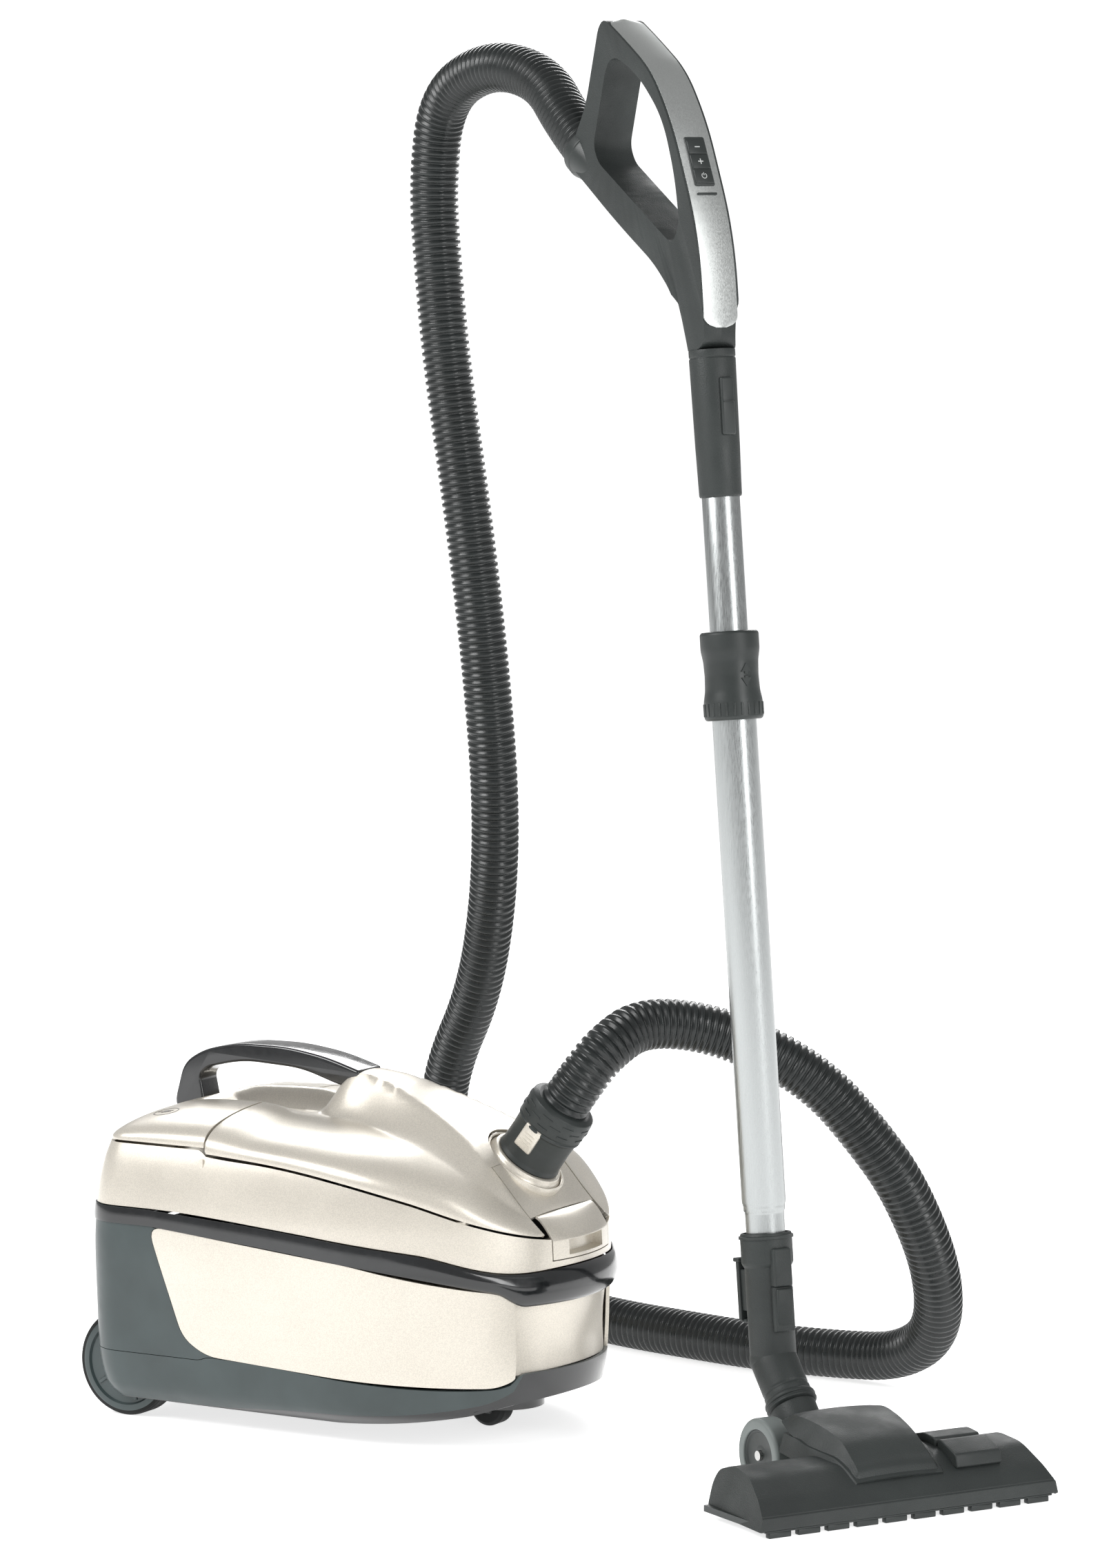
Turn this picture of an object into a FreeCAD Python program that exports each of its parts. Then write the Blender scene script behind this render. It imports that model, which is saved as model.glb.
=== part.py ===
import FreeCAD, Part
import math
import os

import Sketcher

# Canister vacuum cleaner, in millimetres.  X points from the canister's tail to its nose,
# Y to the machine's left and Z up.  The origin is on the floor under the middle of the
# canister, wand and floor tool together.

document = FreeCAD.newDocument("canister_vacuum")
sheet = document.addObject("Spreadsheet::Sheet", "sizes")

SIZES = {
    # canister housing
    "canister_x": -241, "canister_y": 60, "tail_x": -178, "canister_length": 410,
    "canister_width": 300, "canister_height": 270, "floor_gap": 18, "wall": 3,
    "nose_radius": 140, "flank_end": 60, "tail_corner": 35, "base_top": 60,
    "front_cover_width": 156, "surround_width": 104, "lid_gap": 2, "strip_width": 92,
    "pedal_front": -61, "valley_width": 68, "hump_width": 90,
    # wheels and castor
    "wheel_radius": 45, "wheel_width": 22, "wheel_axle_x": -150, "wheel_outer": 125,
    "tyre_depth": 4, "well_gap": 5, "axle_radius": 4, "running_gap": 0.05,
    "castor_x": 150, "castor_radius": 17, "castor_width": 20, "castor_trail": 12,
    # suction inlet and hose plug
    "inlet_x": 169, "inlet_rise": 46, "inlet_lean": 36, "inlet_bore": 26.4, "collar_radius": 34,
    "cuff_length": 68, "cuff_radius": 27, "hose_radius": 21, "hose_wall": 2.5,
    # inside the canister
    "motor_radius": 46, "motor_length": 110, "reel_radius": 56, "reel_width": 46,
    "bag_width": 170, "board_thickness": 1.6, "seal_thickness": 4,
    # wand and handle
    "tool_x": 607.7, "tool_y": -148, "tool_turn": -29.4, "wand_lean": 6.9,
    "wand_foot_x": -214.4, "wand_foot_z": 200, "lower_tube_radius": 18, "lower_tube_length": 440,
    "upper_tube_radius": 15.5, "tube_wall": 1.2, "upper_tube_low": 120, "collar_low": 412,
    "collar_length": 72, "slide_collar_radius": 24, "sleeve_low": 594, "sleeve_length": 118,
    "sleeve_radius": 19, "handle_width": 36,
    # floor tool
    "tool_width": 281, "tool_depth": 90, "skirt_height": 4.5, "tooth_count": 10, "tooth_pitch": 27,
    "roller_radius": 30, "roller_width": 20, "roller_outer": 51, "tilt_axis_x": -145,
    "swivel_lean": 40, "swivel_x": -176, "swivel_z": 63.5, "neck_radius": 19,
}
for row, (alias, number) in enumerate(SIZES.items(), start=1):
    sheet.set(f"A{row}", alias)
    sheet.set(f"B{row}", str(number))
    sheet.setAlias(f"B{row}", alias)
document.recompute()


class Size:
    """A number together with the sheet expression that gives it."""

    def __init__(self, value, text):
        self.value = float(value)
        self.text = text

    def joined(self, other, sign, value):
        return Size(value, f"({self.text} {sign} {as_size(other).text})")

    def __add__(self, other):
        return self.joined(other, "+", self.value + float(other))

    def __sub__(self, other):
        return self.joined(other, "-", self.value - float(other))

    def __mul__(self, other):
        return self.joined(other, "*", self.value * float(other))

    def __truediv__(self, other):
        return self.joined(other, "/", self.value / float(other))

    def __radd__(self, other):
        return as_size(other) + self

    def __rmul__(self, other):
        return as_size(other) * self

    def __rsub__(self, other):
        return as_size(other) - self

    def __neg__(self):
        return Size(-self.value, f"(0 - {self.text})")

    def __float__(self):
        return self.value


def as_size(number):
    return number if isinstance(number, Size) else Size(number, f"{float(number):.6f}")


class Sheet:
    """The sheet's cells as attributes, each with its own expression."""

    def __getattr__(self, alias):
        return Size(sheet.get(alias), f"sizes.{alias}")


s = Sheet()
nodes = []
X_AXIS = FreeCAD.Vector(1, 0, 0)
Y_AXIS = FreeCAD.Vector(0, 1, 0)
Z_AXIS = FreeCAD.Vector(0, 0, 1)
UPRIGHT = FreeCAD.Rotation()
ALONG_X = FreeCAD.Rotation(Y_AXIS, 90)
ALONG_Y = FreeCAD.Rotation(X_AXIS, -90)


def vector(x, y, z):
    return FreeCAD.Vector(float(x), float(y), float(z))


def place(x, y, z, turn=UPRIGHT):
    return FreeCAD.Placement(vector(x, y, z), turn)


CANISTER = place(s.canister_x, s.canister_y, 0)
TOOL = place(
    s.tool_x + s.canister_x, s.tool_y + s.canister_y, 0, FreeCAD.Rotation(Z_AXIS, float(s.tool_turn))
)
INLET = place(
    s.inlet_x, 0, s.canister_height - s.inlet_rise, FreeCAD.Rotation(Y_AXIS, float(s.inlet_lean))
)
WAND = place(s.wand_foot_x, 0, s.wand_foot_z, FreeCAD.Rotation(Y_AXIS, -float(s.wand_lean)))
SWIVEL = place(s.swivel_x, 0, s.swivel_z, FreeCAD.Rotation(Y_AXIS, -float(s.swivel_lean)))
HANDLE = WAND.multiply(place(0, 0, s.sleeve_low))


# ---------------------------------------------------------------- building blocks

def bind(feature, **sizes):
    """Set a feature's sizes, each bound to the sheet."""
    for name, number in sizes.items():
        feature.setExpression(name, as_size(number).text)
    return feature


def block(x, y, z, at=None):
    """A box between pairs of limits."""
    box = bind(
        document.addObject("Part::Box", "block"),
        Length=x[1] - as_size(x[0]), Width=y[1] - as_size(y[0]), Height=z[1] - as_size(z[0]),
    )
    box.Placement = (at or place(0, 0, 0)).multiply(place(x[0], y[0], z[0]))
    return box


def rod(radius, length, at):
    """A cylinder that starts at a placement and runs along its Z."""
    cylinder = bind(document.addObject("Part::Cylinder", "rod"), Radius=radius, Height=length)
    cylinder.Placement = at
    return cylinder


def cone(low_radius, high_radius, length, at):
    body = bind(
        document.addObject("Part::Cone", "cone"), Radius1=low_radius, Radius2=high_radius, Height=length
    )
    body.Placement = at
    return body


def ball(radius, at):
    sphere = bind(document.addObject("Part::Sphere", "ball"), Radius=radius)
    sphere.Placement = at
    return sphere


def fused(*pieces):
    if len(pieces) == 1:
        return pieces[0]
    union = document.addObject("Part::MultiFuse", "union")
    union.Shapes = list(pieces)
    return union


def grouped(*pieces):
    """Separate solids that are handed in together."""
    group = document.addObject("Part::Compound", "group")
    group.Links = list(pieces)
    return group


def without(base, *tools):
    """The base with every tool cut away."""
    cut = document.addObject("Part::Cut", "cut")
    cut.Base = base
    cut.Tool = fused(*tools)
    return cut


def tube(outer, inner, low, high, at):
    """A straight ring between two distances along a placement's Z."""
    start = at.multiply(place(0, 0, low))
    length = as_size(high) - low
    bore = rod(inner, length + 2, start.multiply(place(0, 0, -1)))
    return without(rod(outer, length, start), bore)


def sketch_in(body, role, points):
    """A closed outline on one of the body's own planes, every corner bound to the sheet."""
    sketch = body.newObject("Sketcher::SketchObject", "outline")
    plane = next(item for item in body.Origin.OriginFeatures if item.Role == role)
    sketch.AttachmentSupport = [(plane, "")]
    sketch.MapMode = "FlatFace"
    corners = [FreeCAD.Vector(float(x), float(y), 0) for x, y in points]
    count = len(corners)
    for index in range(count):
        sketch.addGeometry(Part.LineSegment(corners[index], corners[(index + 1) % count]), False)
    for index in range(count):
        sketch.addConstraint(Sketcher.Constraint("Coincident", index, 2, (index + 1) % count, 1))
    for index, (x, y) in enumerate(points):
        for kind, number in (("DistanceX", x), ("DistanceY", y)):
            limit = sketch.addConstraint(Sketcher.Constraint(kind, -1, 1, index, 1, float(number)))
            sketch.setExpression(f"Constraints[{limit}]", as_size(number).text)
    return sketch


def turned(points, at):
    """A solid of revolution about Z from corners of (radius, height)."""
    body = document.addObject("PartDesign::Body", "turned")
    sketch = sketch_in(body, "XZ_Plane", points)
    revolution = body.newObject("PartDesign::Revolution", "spin")
    revolution.Profile = sketch
    revolution.ReferenceAxis = (sketch, ["V_Axis"])
    revolution.Angle = 360
    body.Tip = revolution
    body.Placement = at
    return body


def formed(shape):
    """A document object for a free-form shape."""
    feature = document.addObject("Part::Feature", "formed")
    feature.Shape = shape
    return feature


def node(label, feature, frame):
    """Name a finished sub-part and put it in the machine's frame."""
    feature.Label = label
    feature.Placement = frame.multiply(feature.Placement)
    nodes.append((label, feature))
    return feature


# ---------------------------------------------------------------- canister form

NOSE_X = s.tail_x + s.canister_length
HALF_WIDTH = s.canister_width / 2
LID_LINE = [(-61, 232), (4, 228), (72, 220), (133, 207), (182, 189), (215, 176), (262, 166)]
BAND_TOP = [(-108, 184), (17, 177), (141, 165), (213, 147), (262, 147)]
BAND_LOW = [(-108, 171), (85, 155), (196, 133), (214, 120), (262, 120)]
PANEL_TAIL = [(-108, 171), (-75, 83), (-50, 60)]
FAR = 400


def lengthwise(x):
    """Move a point of the design outline with the canister's length."""
    tail = float(s.tail_x)
    return tail + (x + 178) * float(s.canister_length) / 410


def upward(z):
    """Move a height above the base tray with the canister's height."""
    base = float(s.base_top)
    return base + (z - 60) * (float(s.canister_height) - base) / 210 if z > 60 else z


def side_points(points):
    return [(lengthwise(x), upward(z)) for x, z in points]


def plan_wire(inset, height):
    """The canister's outline at one height: square tail, straight flanks, round nose."""
    half = float(HALF_WIDTH) - inset
    tail = float(s.tail_x) + inset
    nose = float(NOSE_X) - inset
    nose_radius = min(float(s.nose_radius) - inset, half - 6)
    corner = max(float(s.tail_corner) - inset, 6)
    flank = lengthwise(float(s.flank_end))
    reach = nose - nose_radius - flank
    bend = (reach**2 + half**2 - nose_radius**2) / (2 * (half - nose_radius))
    towards = FreeCAD.Vector(reach, bend - half, 0).normalize()
    nose_centre = FreeCAD.Vector(nose - nose_radius, 0, 0)
    bend_centre = FreeCAD.Vector(flank, half - bend, 0)
    towards.y = -towards.y if towards.y < 0 else towards.y
    join = nose_centre + towards * nose_radius
    middle_angle = (math.pi / 2 + math.atan2(join.y - bend_centre.y, join.x - bend_centre.x)) / 2
    middle = bend_centre + FreeCAD.Vector(math.cos(middle_angle), math.sin(middle_angle), 0) * bend
    diagonal = corner * (1 - math.sqrt(0.5))
    left = [
        Part.LineSegment(FreeCAD.Vector(tail, 0, 0), FreeCAD.Vector(tail, half - corner, 0)),
        Part.Arc(
            FreeCAD.Vector(tail, half - corner, 0),
            FreeCAD.Vector(tail + diagonal, half - diagonal, 0),
            FreeCAD.Vector(tail + corner, half, 0),
        ),
        Part.LineSegment(FreeCAD.Vector(tail + corner, half, 0), FreeCAD.Vector(flank, half, 0)),
        Part.Arc(FreeCAD.Vector(flank, half, 0), middle, join),
    ]
    tip = Part.Arc(join, FreeCAD.Vector(nose, 0, 0), FreeCAD.Vector(join.x, -join.y, 0)).toShape()
    edges = [curve.toShape() for curve in left]
    mirrored = [edge.mirror(FreeCAD.Vector(0, 0, 0), Y_AXIS) for edge in edges]
    wire = Part.Wire(Part.__sortEdges__(edges + [tip] + mirrored))
    wire.translate(FreeCAD.Vector(0, 0, height))
    return wire


def side_prism(points, low_y=-FAR, high_y=FAR):
    """A prism along Y from corners of (x, z)."""
    corners = [FreeCAD.Vector(x, low_y, z) for x, z in points]
    face = Part.Face(Part.makePolygon(corners + corners[:1]))
    return face.extrude(FreeCAD.Vector(0, high_y - low_y, 0))


def slab(x, y, z):
    return Part.makeBox(
        float(x[1]) - float(x[0]), float(y[1]) - float(y[0]), float(z[1]) - float(z[0]),
        vector(x[0], y[0], z[0]),
    )


def round_bar(radius, length, x, y, z, direction):
    return Part.makeCylinder(float(radius), float(length), vector(x, y, z), direction)


def canister_form(inset):
    """The closed outer form, or the same form set in by a wall."""
    levels = [(18, 20), (30, 8), (60, 3), (150, 0), (200, 4), (240, 16), (262, 40), (270, 70)]
    gap = float(s.floor_gap)
    heights = [max(upward(z), gap) if z > 18 else gap for z, _ in levels]
    heights = [z + inset if index == 0 else z for index, z in enumerate(heights)]
    heights[-1] -= inset
    wires = [plan_wire(extra + inset, z) for z, (_, extra) in zip(heights, levels)]
    body = Part.makeLoft(wires, True, True)
    top = [(-190, 190), (-168, 240), (-148, 257), (-107, 264), (-61, 266), (-18, 260), (35, 257),
           (87, 252), (130, 244), (161, 233), (190, 207), (211, 188), (240, 165)]
    top = [(x, z - inset) for x, z in side_points(top)]
    top[0] = (top[0][0] + inset, top[0][1])
    limit = side_prism([(top[0][0], 0)] + top + [(top[-1][0], 0)])
    half_valley = float(s.valley_width) / 2 + inset
    valley_x = (lengthwise(-137) - inset, lengthwise(-5) + inset)
    valley = slab(valley_x, (-half_valley, half_valley), (upward(248) - inset, FAR))
    return body.common(limit).cut(valley)


outer_form = canister_form(0)
inner_form = canister_form(float(s.wall))
skin = outer_form.cut(inner_form)

half_surround = float(s.surround_width) / 2
half_cover = float(s.front_cover_width) / 2
half_strip = float(s.strip_width) / 2
notch_x = lengthwise(136)
latch_x = lengthwise(206)
pedal_front = lengthwise(float(s.pedal_front))
housing_top = upward(230)
hinge_x = lengthwise(-150)
hinge_z = upward(238)
well_radius = float(s.wheel_radius + s.well_gap)
well_inner = float(s.wheel_outer - s.wheel_width) - 3.5
axle_z = float(s.wheel_radius)
axle_x = lengthwise(float(s.wheel_axle_x))
castor_x = lengthwise(float(s.castor_x))
screw_places = [(lengthwise(x), y) for x in (-60, 60) for y in (-100, 100)]


def both_sides(make):
    return make(1).fuse(make(-1))


def outward(side, inner, outer):
    """Y limits on one side of the machine."""
    return (side * inner, side * outer) if side > 0 else (side * outer, side * inner)


def wheel_well(extra):
    """The space round a rear wheel on each side, or the liner's outside with extra."""
    def one(side):
        low, high = outward(side, well_inner - extra, float(s.wheel_outer) + 3 + extra)
        return round_bar(well_radius + extra, high - low, axle_x, low, axle_z, Y_AXIS)
    return both_sides(one)


def castor_well(extra):
    return round_bar(34 + extra, 48 + extra, castor_x, 0, 0, Z_AXIS)


def region(points, low_y=-FAR, high_y=FAR):
    return skin.common(side_prism(side_points(points), low_y, high_y))


def base_tray():
    lower = skin.common(slab((-FAR, FAR), (-FAR, FAR), (0, float(s.base_top))))
    liner = inner_form.common(wheel_well(2.5).fuse(castor_well(2.5)))
    bosses = [round_bar(5, 30, x, y, float(s.floor_gap) + 2, Z_AXIS) for x, y in screw_places]
    stem_seat = round_bar(10, 12, castor_x, 0, 48, Z_AXIS)
    tray = lower.fuse([liner, stem_seat] + bosses)
    holes = [round_bar(2.05, 40, x, y, 0, Z_AXIS) for x, y in screw_places]
    bore = round_bar(6 + float(s.running_gap), 20, castor_x, 0, 44, Z_AXIS)
    axle_holes = both_sides(lambda side: round_bar(
        s.axle_radius, 20, axle_x, outward(side, well_inner - 10, well_inner + 10)[0], axle_z, Y_AXIS))
    return tray.cut([wheel_well(0), castor_well(0), bore, axle_holes] + holes)


def rear_shell():
    outline = [(-240, 60), (-240, 186)] + [(-108, 184)] + PANEL_TAIL
    shell = region(outline, -FAR, FAR)
    grille_gap = slab((-FAR, lengthwise(-150)), (-70, 70), (upward(80), upward(160)))
    outlet = round_bar(9, 40, lengthwise(-190), -100, upward(120), X_AXIS)
    return shell.cut([wheel_well(0), grille_gap, outlet])


def upper_housing():
    outline = BAND_TOP + LID_LINE[::-1] + [(-61, 230), (-240, 230), (-240, 186), (-108, 184)]
    outline = [point for index, point in enumerate(outline) if point not in outline[:index]]
    shell = region(outline)
    notch = slab((notch_x - 0.5, FAR), (-half_surround, half_surround), (0, FAR))
    deck_z = upward(206)
    deck = inner_form.common(slab((-FAR, pedal_front + 3), (-FAR, FAR), (deck_z, deck_z + 2.5)))
    back_wall = inner_form.common(slab((pedal_front, pedal_front + 3), (-FAR, FAR), (deck_z, housing_top)))
    rim_z = upward(186)
    rim = inner_form.common(slab((pedal_front, lengthwise(176)), (-FAR, FAR), (rim_z, rim_z + 3)))
    opening = slab((lengthwise(-25), lengthwise(190)), (-100, 100), (rim_z - 5, rim_z + 10))
    shell = shell.fuse([deck, back_wall, rim.cut(opening)]).cut(notch)
    sweep = round_bar(18, 95, hinge_x, -47.5, hinge_z, Y_AXIS)
    lug = round_bar(6, 40, hinge_x, -20, hinge_z, Y_AXIS)
    web = slab((hinge_x, hinge_x + 11), (-20, 20), (deck_z + 1, hinge_z))
    foot_gap = slab((-FAR, hinge_x - 6.5), (-21, 21), (upward(218), FAR))
    pin_hole = round_bar(3 + float(s.running_gap), 60, hinge_x, -30, hinge_z, Y_AXIS)
    above_deck = sweep.cut(slab((-FAR, FAR), (-FAR, FAR), (0, deck_z + 2.5)))
    return shell.cut([above_deck, foot_gap]).fuse([lug, web]).cut(pin_hole)


def side_panel(side):
    outline = PANEL_TAIL[::-1] + BAND_LOW[1:] + [(262, 60)]
    return region(outline, *outward(side, half_cover, FAR))


def front_cover():
    outline = PANEL_TAIL[::-1] + BAND_LOW[1:] + [(262, 60)]
    return region(outline, -half_cover, half_cover)


def bumper_band():
    strip = BAND_LOW + BAND_TOP[::-1]
    return canister_form(-2).cut(inner_form).common(side_prism(side_points(strip)))


def hump(inset):
    """The raised middle of the lid, which the handle's front end meets."""
    half = float(s.hump_width) / 2 - inset
    outline = [(-18, 250), (9, 289), (30, 291), (60, 285), (105, 268), (134, 253), (134, 238)]
    points = side_points(outline)
    points = [(x, z - inset) for x, z in points]
    points[0] = (points[0][0] + inset, points[0][1])
    points[-1] = (points[-1][0] - inset, points[-1][1])
    points[-2] = (points[-2][0] - inset, points[-2][1])
    return side_prism(points, -half, half)


def bag_lid():
    line = [(x, z + 1.5) for x, z in LID_LINE]
    cap = region(line + [(262, 360), (-61, 360)])
    strip = region([(-240, 236), (-240, 360), (-61, 360), (-61, 236)], -half_strip, half_strip)
    lid = cap.fuse(strip).fuse(hump(0).cut(inner_form)).cut(hump(float(s.wall)))
    gap = float(s.lid_gap)
    notch = slab((notch_x - gap, FAR), (-half_surround - gap, half_surround + gap), (0, FAR))
    ribs = both_sides(lambda side: outer_form.common(slab(
        (hinge_x - 6, hinge_x + 6), outward(side, 21, 30), (hinge_z, FAR))))
    knuckles = both_sides(lambda side: round_bar(
        6, 9, hinge_x, outward(side, 21, 30)[0], hinge_z, Y_AXIS))
    pin_hole = round_bar(3 + float(s.running_gap), 80, hinge_x, -40, hinge_z, Y_AXIS)
    return lid.cut(notch).fuse([ribs, knuckles]).cut(pin_hole)


def inlet_surround():
    outline = [(136, 200), (136, 251), (140, 249), (162, 236), (206, 190), (240, 172), (240, 154)]
    points = side_points(outline)
    wall = float(s.wall)
    outside = side_prism(points, -half_surround, half_surround)
    inside = side_prism([(x, z - wall) for x, z in points], -half_surround + wall, half_surround - wall)
    nose_limit = outer_form.fuse(slab((-FAR, latch_x), (-FAR, FAR), (0, FAR)))
    piece = outside.common(nose_limit).cut(inside)
    bore = Part.makeCylinder(float(s.collar_radius + s.running_gap), 80)
    bore.Placement = INLET.multiply(place(0, 0, -40))
    latch_space = slab((latch_x, FAR), (-46, 46), (0, FAR))
    return piece.cut([bore, latch_space, bumper_band_shape])


def latch():
    outline = [(207, 154), (207, 186), (232, 176), (232, 154)]
    block_shape = side_prism(side_points(outline), -45, 45)
    recess = side_prism(side_points([(214, 150), (214, 172), (224, 172), (224, 150)]), -38, 38)
    return block_shape.common(outer_form).cut([recess, bumper_band_shape])


def pedal(side):
    low_z = upward(238)
    outline = slab((-FAR, pedal_front - 2), outward(side, half_strip + 2, FAR), (low_z, FAR))
    cap = skin.common(outline)
    post = round_bar(7, 60, lengthwise(-120), side * 95, low_z - 8, Z_AXIS)
    return cap.fuse(post.common(outer_form))


bumper_band_shape = bumper_band()
node("base_tray", formed(base_tray()), CANISTER)
node("rear_shell", formed(rear_shell()), CANISTER)
node("upper_housing", formed(upper_housing()), CANISTER)
node("side_panel_left", formed(side_panel(1)), CANISTER)
node("side_panel_right", formed(side_panel(-1)), CANISTER)
node("front_cover", formed(front_cover()), CANISTER)
node("bumper_band", formed(bumper_band_shape), CANISTER)
node("bag_lid", formed(bag_lid()), CANISTER)
node("inlet_surround", formed(inlet_surround()), CANISTER)
node("latch", formed(latch()), CANISTER)
node("power_pedal", formed(pedal(1)), CANISTER)
node("rewind_pedal", formed(pedal(-1)), CANISTER)

# ---------------------------------------------------------------- canister fittings

RIGHT_HAND = FreeCAD.Rotation(X_AXIS, 90)
SIDES = (("left", 1, ALONG_Y), ("right", -1, RIGHT_HAND))


def carry_handle():
    outline = [(-172, 240), (-160, 289), (-102, 308), (-40, 305), (14, 293), (3, 262),
               (-8, 262), (-2, 283), (-40, 290), (-100, 292), (-143, 281), (-138, 240)]
    bar = side_prism(side_points(outline), -float(s.handle_width) / 2, float(s.handle_width) / 2)
    ring = bar.cut([outer_form, hump(0)])
    return max(ring.Solids, key=lambda solid: solid.Volume)


node("carry_handle", formed(carry_handle()), CANISTER)
node("lid_hinge_pin", rod(3, 60, place(hinge_x, -30, hinge_z, ALONG_Y)), CANISTER)

tyre_inner = s.wheel_radius - s.tyre_depth
hub_depth = s.wheel_width - 3.5
for label, side, across in SIDES:
    hub_at = place(axle_x, side * (s.wheel_outer - s.wheel_width), axle_z, across)
    hub = [
        (s.axle_radius + s.running_gap, 0), (14, 0), (14, 5), (tyre_inner - 4, 5), (tyre_inner - 4, 0),
        (tyre_inner, 0), (tyre_inner, s.wheel_width - 1), (tyre_inner - 4, s.wheel_width - 1),
        (tyre_inner - 7, s.wheel_width - 3), (12, s.wheel_width - 3), (10, s.wheel_width - 0.5),
        (0, s.wheel_width - 0.5), (0, hub_depth), (s.axle_radius + s.running_gap, hub_depth),
    ]
    tyre = [
        (tyre_inner, 1), (s.wheel_radius - 1, 1), (s.wheel_radius, 3), (s.wheel_radius, s.wheel_width - 3),
        (s.wheel_radius - 1, s.wheel_width - 1), (tyre_inner, s.wheel_width - 1),
    ]
    node(f"rear_wheel_{label}", grouped(turned(hub, hub_at), turned(tyre, hub_at)), CANISTER)

axle_start = s.wheel_outer - s.wheel_width - 13.5
axle_end = s.wheel_outer - s.wheel_width + hub_depth - 0.5
node("rear_axles", fused(*[
    rod(s.axle_radius, axle_end - axle_start, place(axle_x, side * axle_start, axle_z, across))
    for _, side, across in SIDES
]), CANISTER)

wheel_line = castor_x - float(s.castor_trail)
arm_inner = s.castor_width / 2 + 1
fork = fused(
    rod(30, 6, place(castor_x, 0, 38)),
    rod(6, 16, place(castor_x, 0, 43)),
    block((wheel_line - 6, wheel_line + 6), (arm_inner, arm_inner + 3), (12, 39)),
    block((wheel_line - 6, wheel_line + 6), (-arm_inner - 3, -arm_inner), (12, 39)),
)
castor_axle_at = place(wheel_line, -float(arm_inner) - 3, s.castor_radius, ALONG_Y)
castor_axle = rod(2.5, arm_inner * 2 + 6, castor_axle_at)
bored_fork = without(fork, rod(2.5, arm_inner * 2 + 6, castor_axle_at))
node("castor_fork", grouped(bored_fork, castor_axle), CANISTER)
castor_profile = [
    (2.5 + s.running_gap, 0), (s.castor_radius - 3, 0), (s.castor_radius, 3),
    (s.castor_radius, s.castor_width - 3), (s.castor_radius - 3, s.castor_width),
    (2.5 + s.running_gap, s.castor_width),
]
castor_at = place(wheel_line, -s.castor_width / 2, s.castor_radius, ALONG_Y)
node("castor_wheel", turned(castor_profile, castor_at), CANISTER)

# ---------------------------------------------------------------- suction inlet and hose plug

PORT = CANISTER.multiply(INLET)
HERE = place(0, 0, 0)
collar = turned([
    (s.inlet_bore, -44), (s.inlet_bore + 3.5, -44), (s.inlet_bore + 3.5, -4), (s.collar_radius, -4),
    (s.collar_radius, 8), (s.inlet_bore, 8),
], HERE)
node("inlet_collar", collar, PORT)
holder = without(block((-40, 40), (-46, 46), (-56, -51)), rod(24, 10, place(0, 0, -58)))
inlet_seal = tube(s.inlet_bore + 4.5, 24, -51, -44, HERE)
node("bag_holder", grouped(holder, inlet_seal), PORT)

spigot = s.inlet_bore - 0.1
cuff = turned([
    (17, -40), (spigot, -40), (spigot, 9), (s.cuff_radius + 3, 9), (s.cuff_radius + 3, 14),
    (s.cuff_radius, 18), (s.cuff_radius - 1.5, 60), (s.hose_radius + 2, s.cuff_length),
    (17, s.cuff_length),
], HERE)
button_out = s.cuff_radius + 1.5
pockets = [block((-9, 9), outward(side, 19.5, 40), (22, 46)) for _, side, _ in SIDES]
node("hose_cuff", without(cuff, *pockets), PORT)
for label, side, _ in SIDES:
    low, high = (s.cuff_radius - 5.5, button_out)
    limits = (low, high) if side > 0 else (-high, -low)
    node(f"release_button_{label}", block((-8.7, 8.7), limits, (22.3, 45.7)), PORT)

# ---------------------------------------------------------------- inside the canister

bulkhead_x = lengthwise(-30)


def bulkhead():
    wall = inner_form.common(slab((bulkhead_x, bulkhead_x + 4), (-FAR, FAR), (21, upward(184))))
    return wall.cut(slab((bulkhead_x - 5, bulkhead_x + 9), (0, 80), (upward(70), upward(140))))


def dust_bag():
    outline = [(-10, 62), (138, 62), (165, 100), (165, 146), (112, 182), (-10, 182)]
    half = float(s.bag_width) / 2
    return side_prism(side_points(outline), -half, half)


node("motor_bulkhead", formed(bulkhead()), CANISTER)
node("dust_bag", formed(dust_bag()), CANISTER)
motor_at = place(bulkhead_x - 4 - float(s.motor_length), 42, upward(108), ALONG_X)
motor = turned([
    (0, 0), (18, 0), (18, 8), (s.motor_radius - 8, 12), (s.motor_radius - 8, 60), (s.motor_radius, 60),
    (s.motor_radius, s.motor_length - 4), (20, s.motor_length - 4), (20, s.motor_length),
    (0, s.motor_length),
], HERE)
front_mount = tube(s.motor_radius + 4, s.motor_radius, 70, 80, HERE)
rear_mount = tube(s.motor_radius - 2, s.motor_radius - 8, 20, 30, HERE)
node("motor_unit", grouped(motor, front_mount, rear_mount), CANISTER.multiply(motor_at))
node("motor_filter", block(
    (bulkhead_x + 4, bulkhead_x + 14), (-4, 84), (upward(66), upward(144))), CANISTER)
reel_x = lengthwise(-96)
node("cord_reel", without(
    fused(
        rod(s.reel_radius, 3, place(reel_x, -94, upward(110), ALONG_Y)),
        rod(s.reel_radius - 10, s.reel_width, place(reel_x, -94, upward(110), ALONG_Y)),
        rod(s.reel_radius, 3, place(reel_x, s.reel_width - 97, upward(110), ALONG_Y)),
    ),
    rod(12, s.reel_width + 2, place(reel_x, -95, upward(110), ALONG_Y)),
), CANISTER)


def exhaust_grille():
    plate = skin.common(slab((-FAR, lengthwise(-150)), (-70, 70), (upward(80), upward(160))))
    slots = [slab((-FAR, FAR), (-60, 60), (upward(90 + 12 * index), upward(90 + 12 * index) + 5))
             for index in range(6)]
    return plate.cut(slots)


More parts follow.
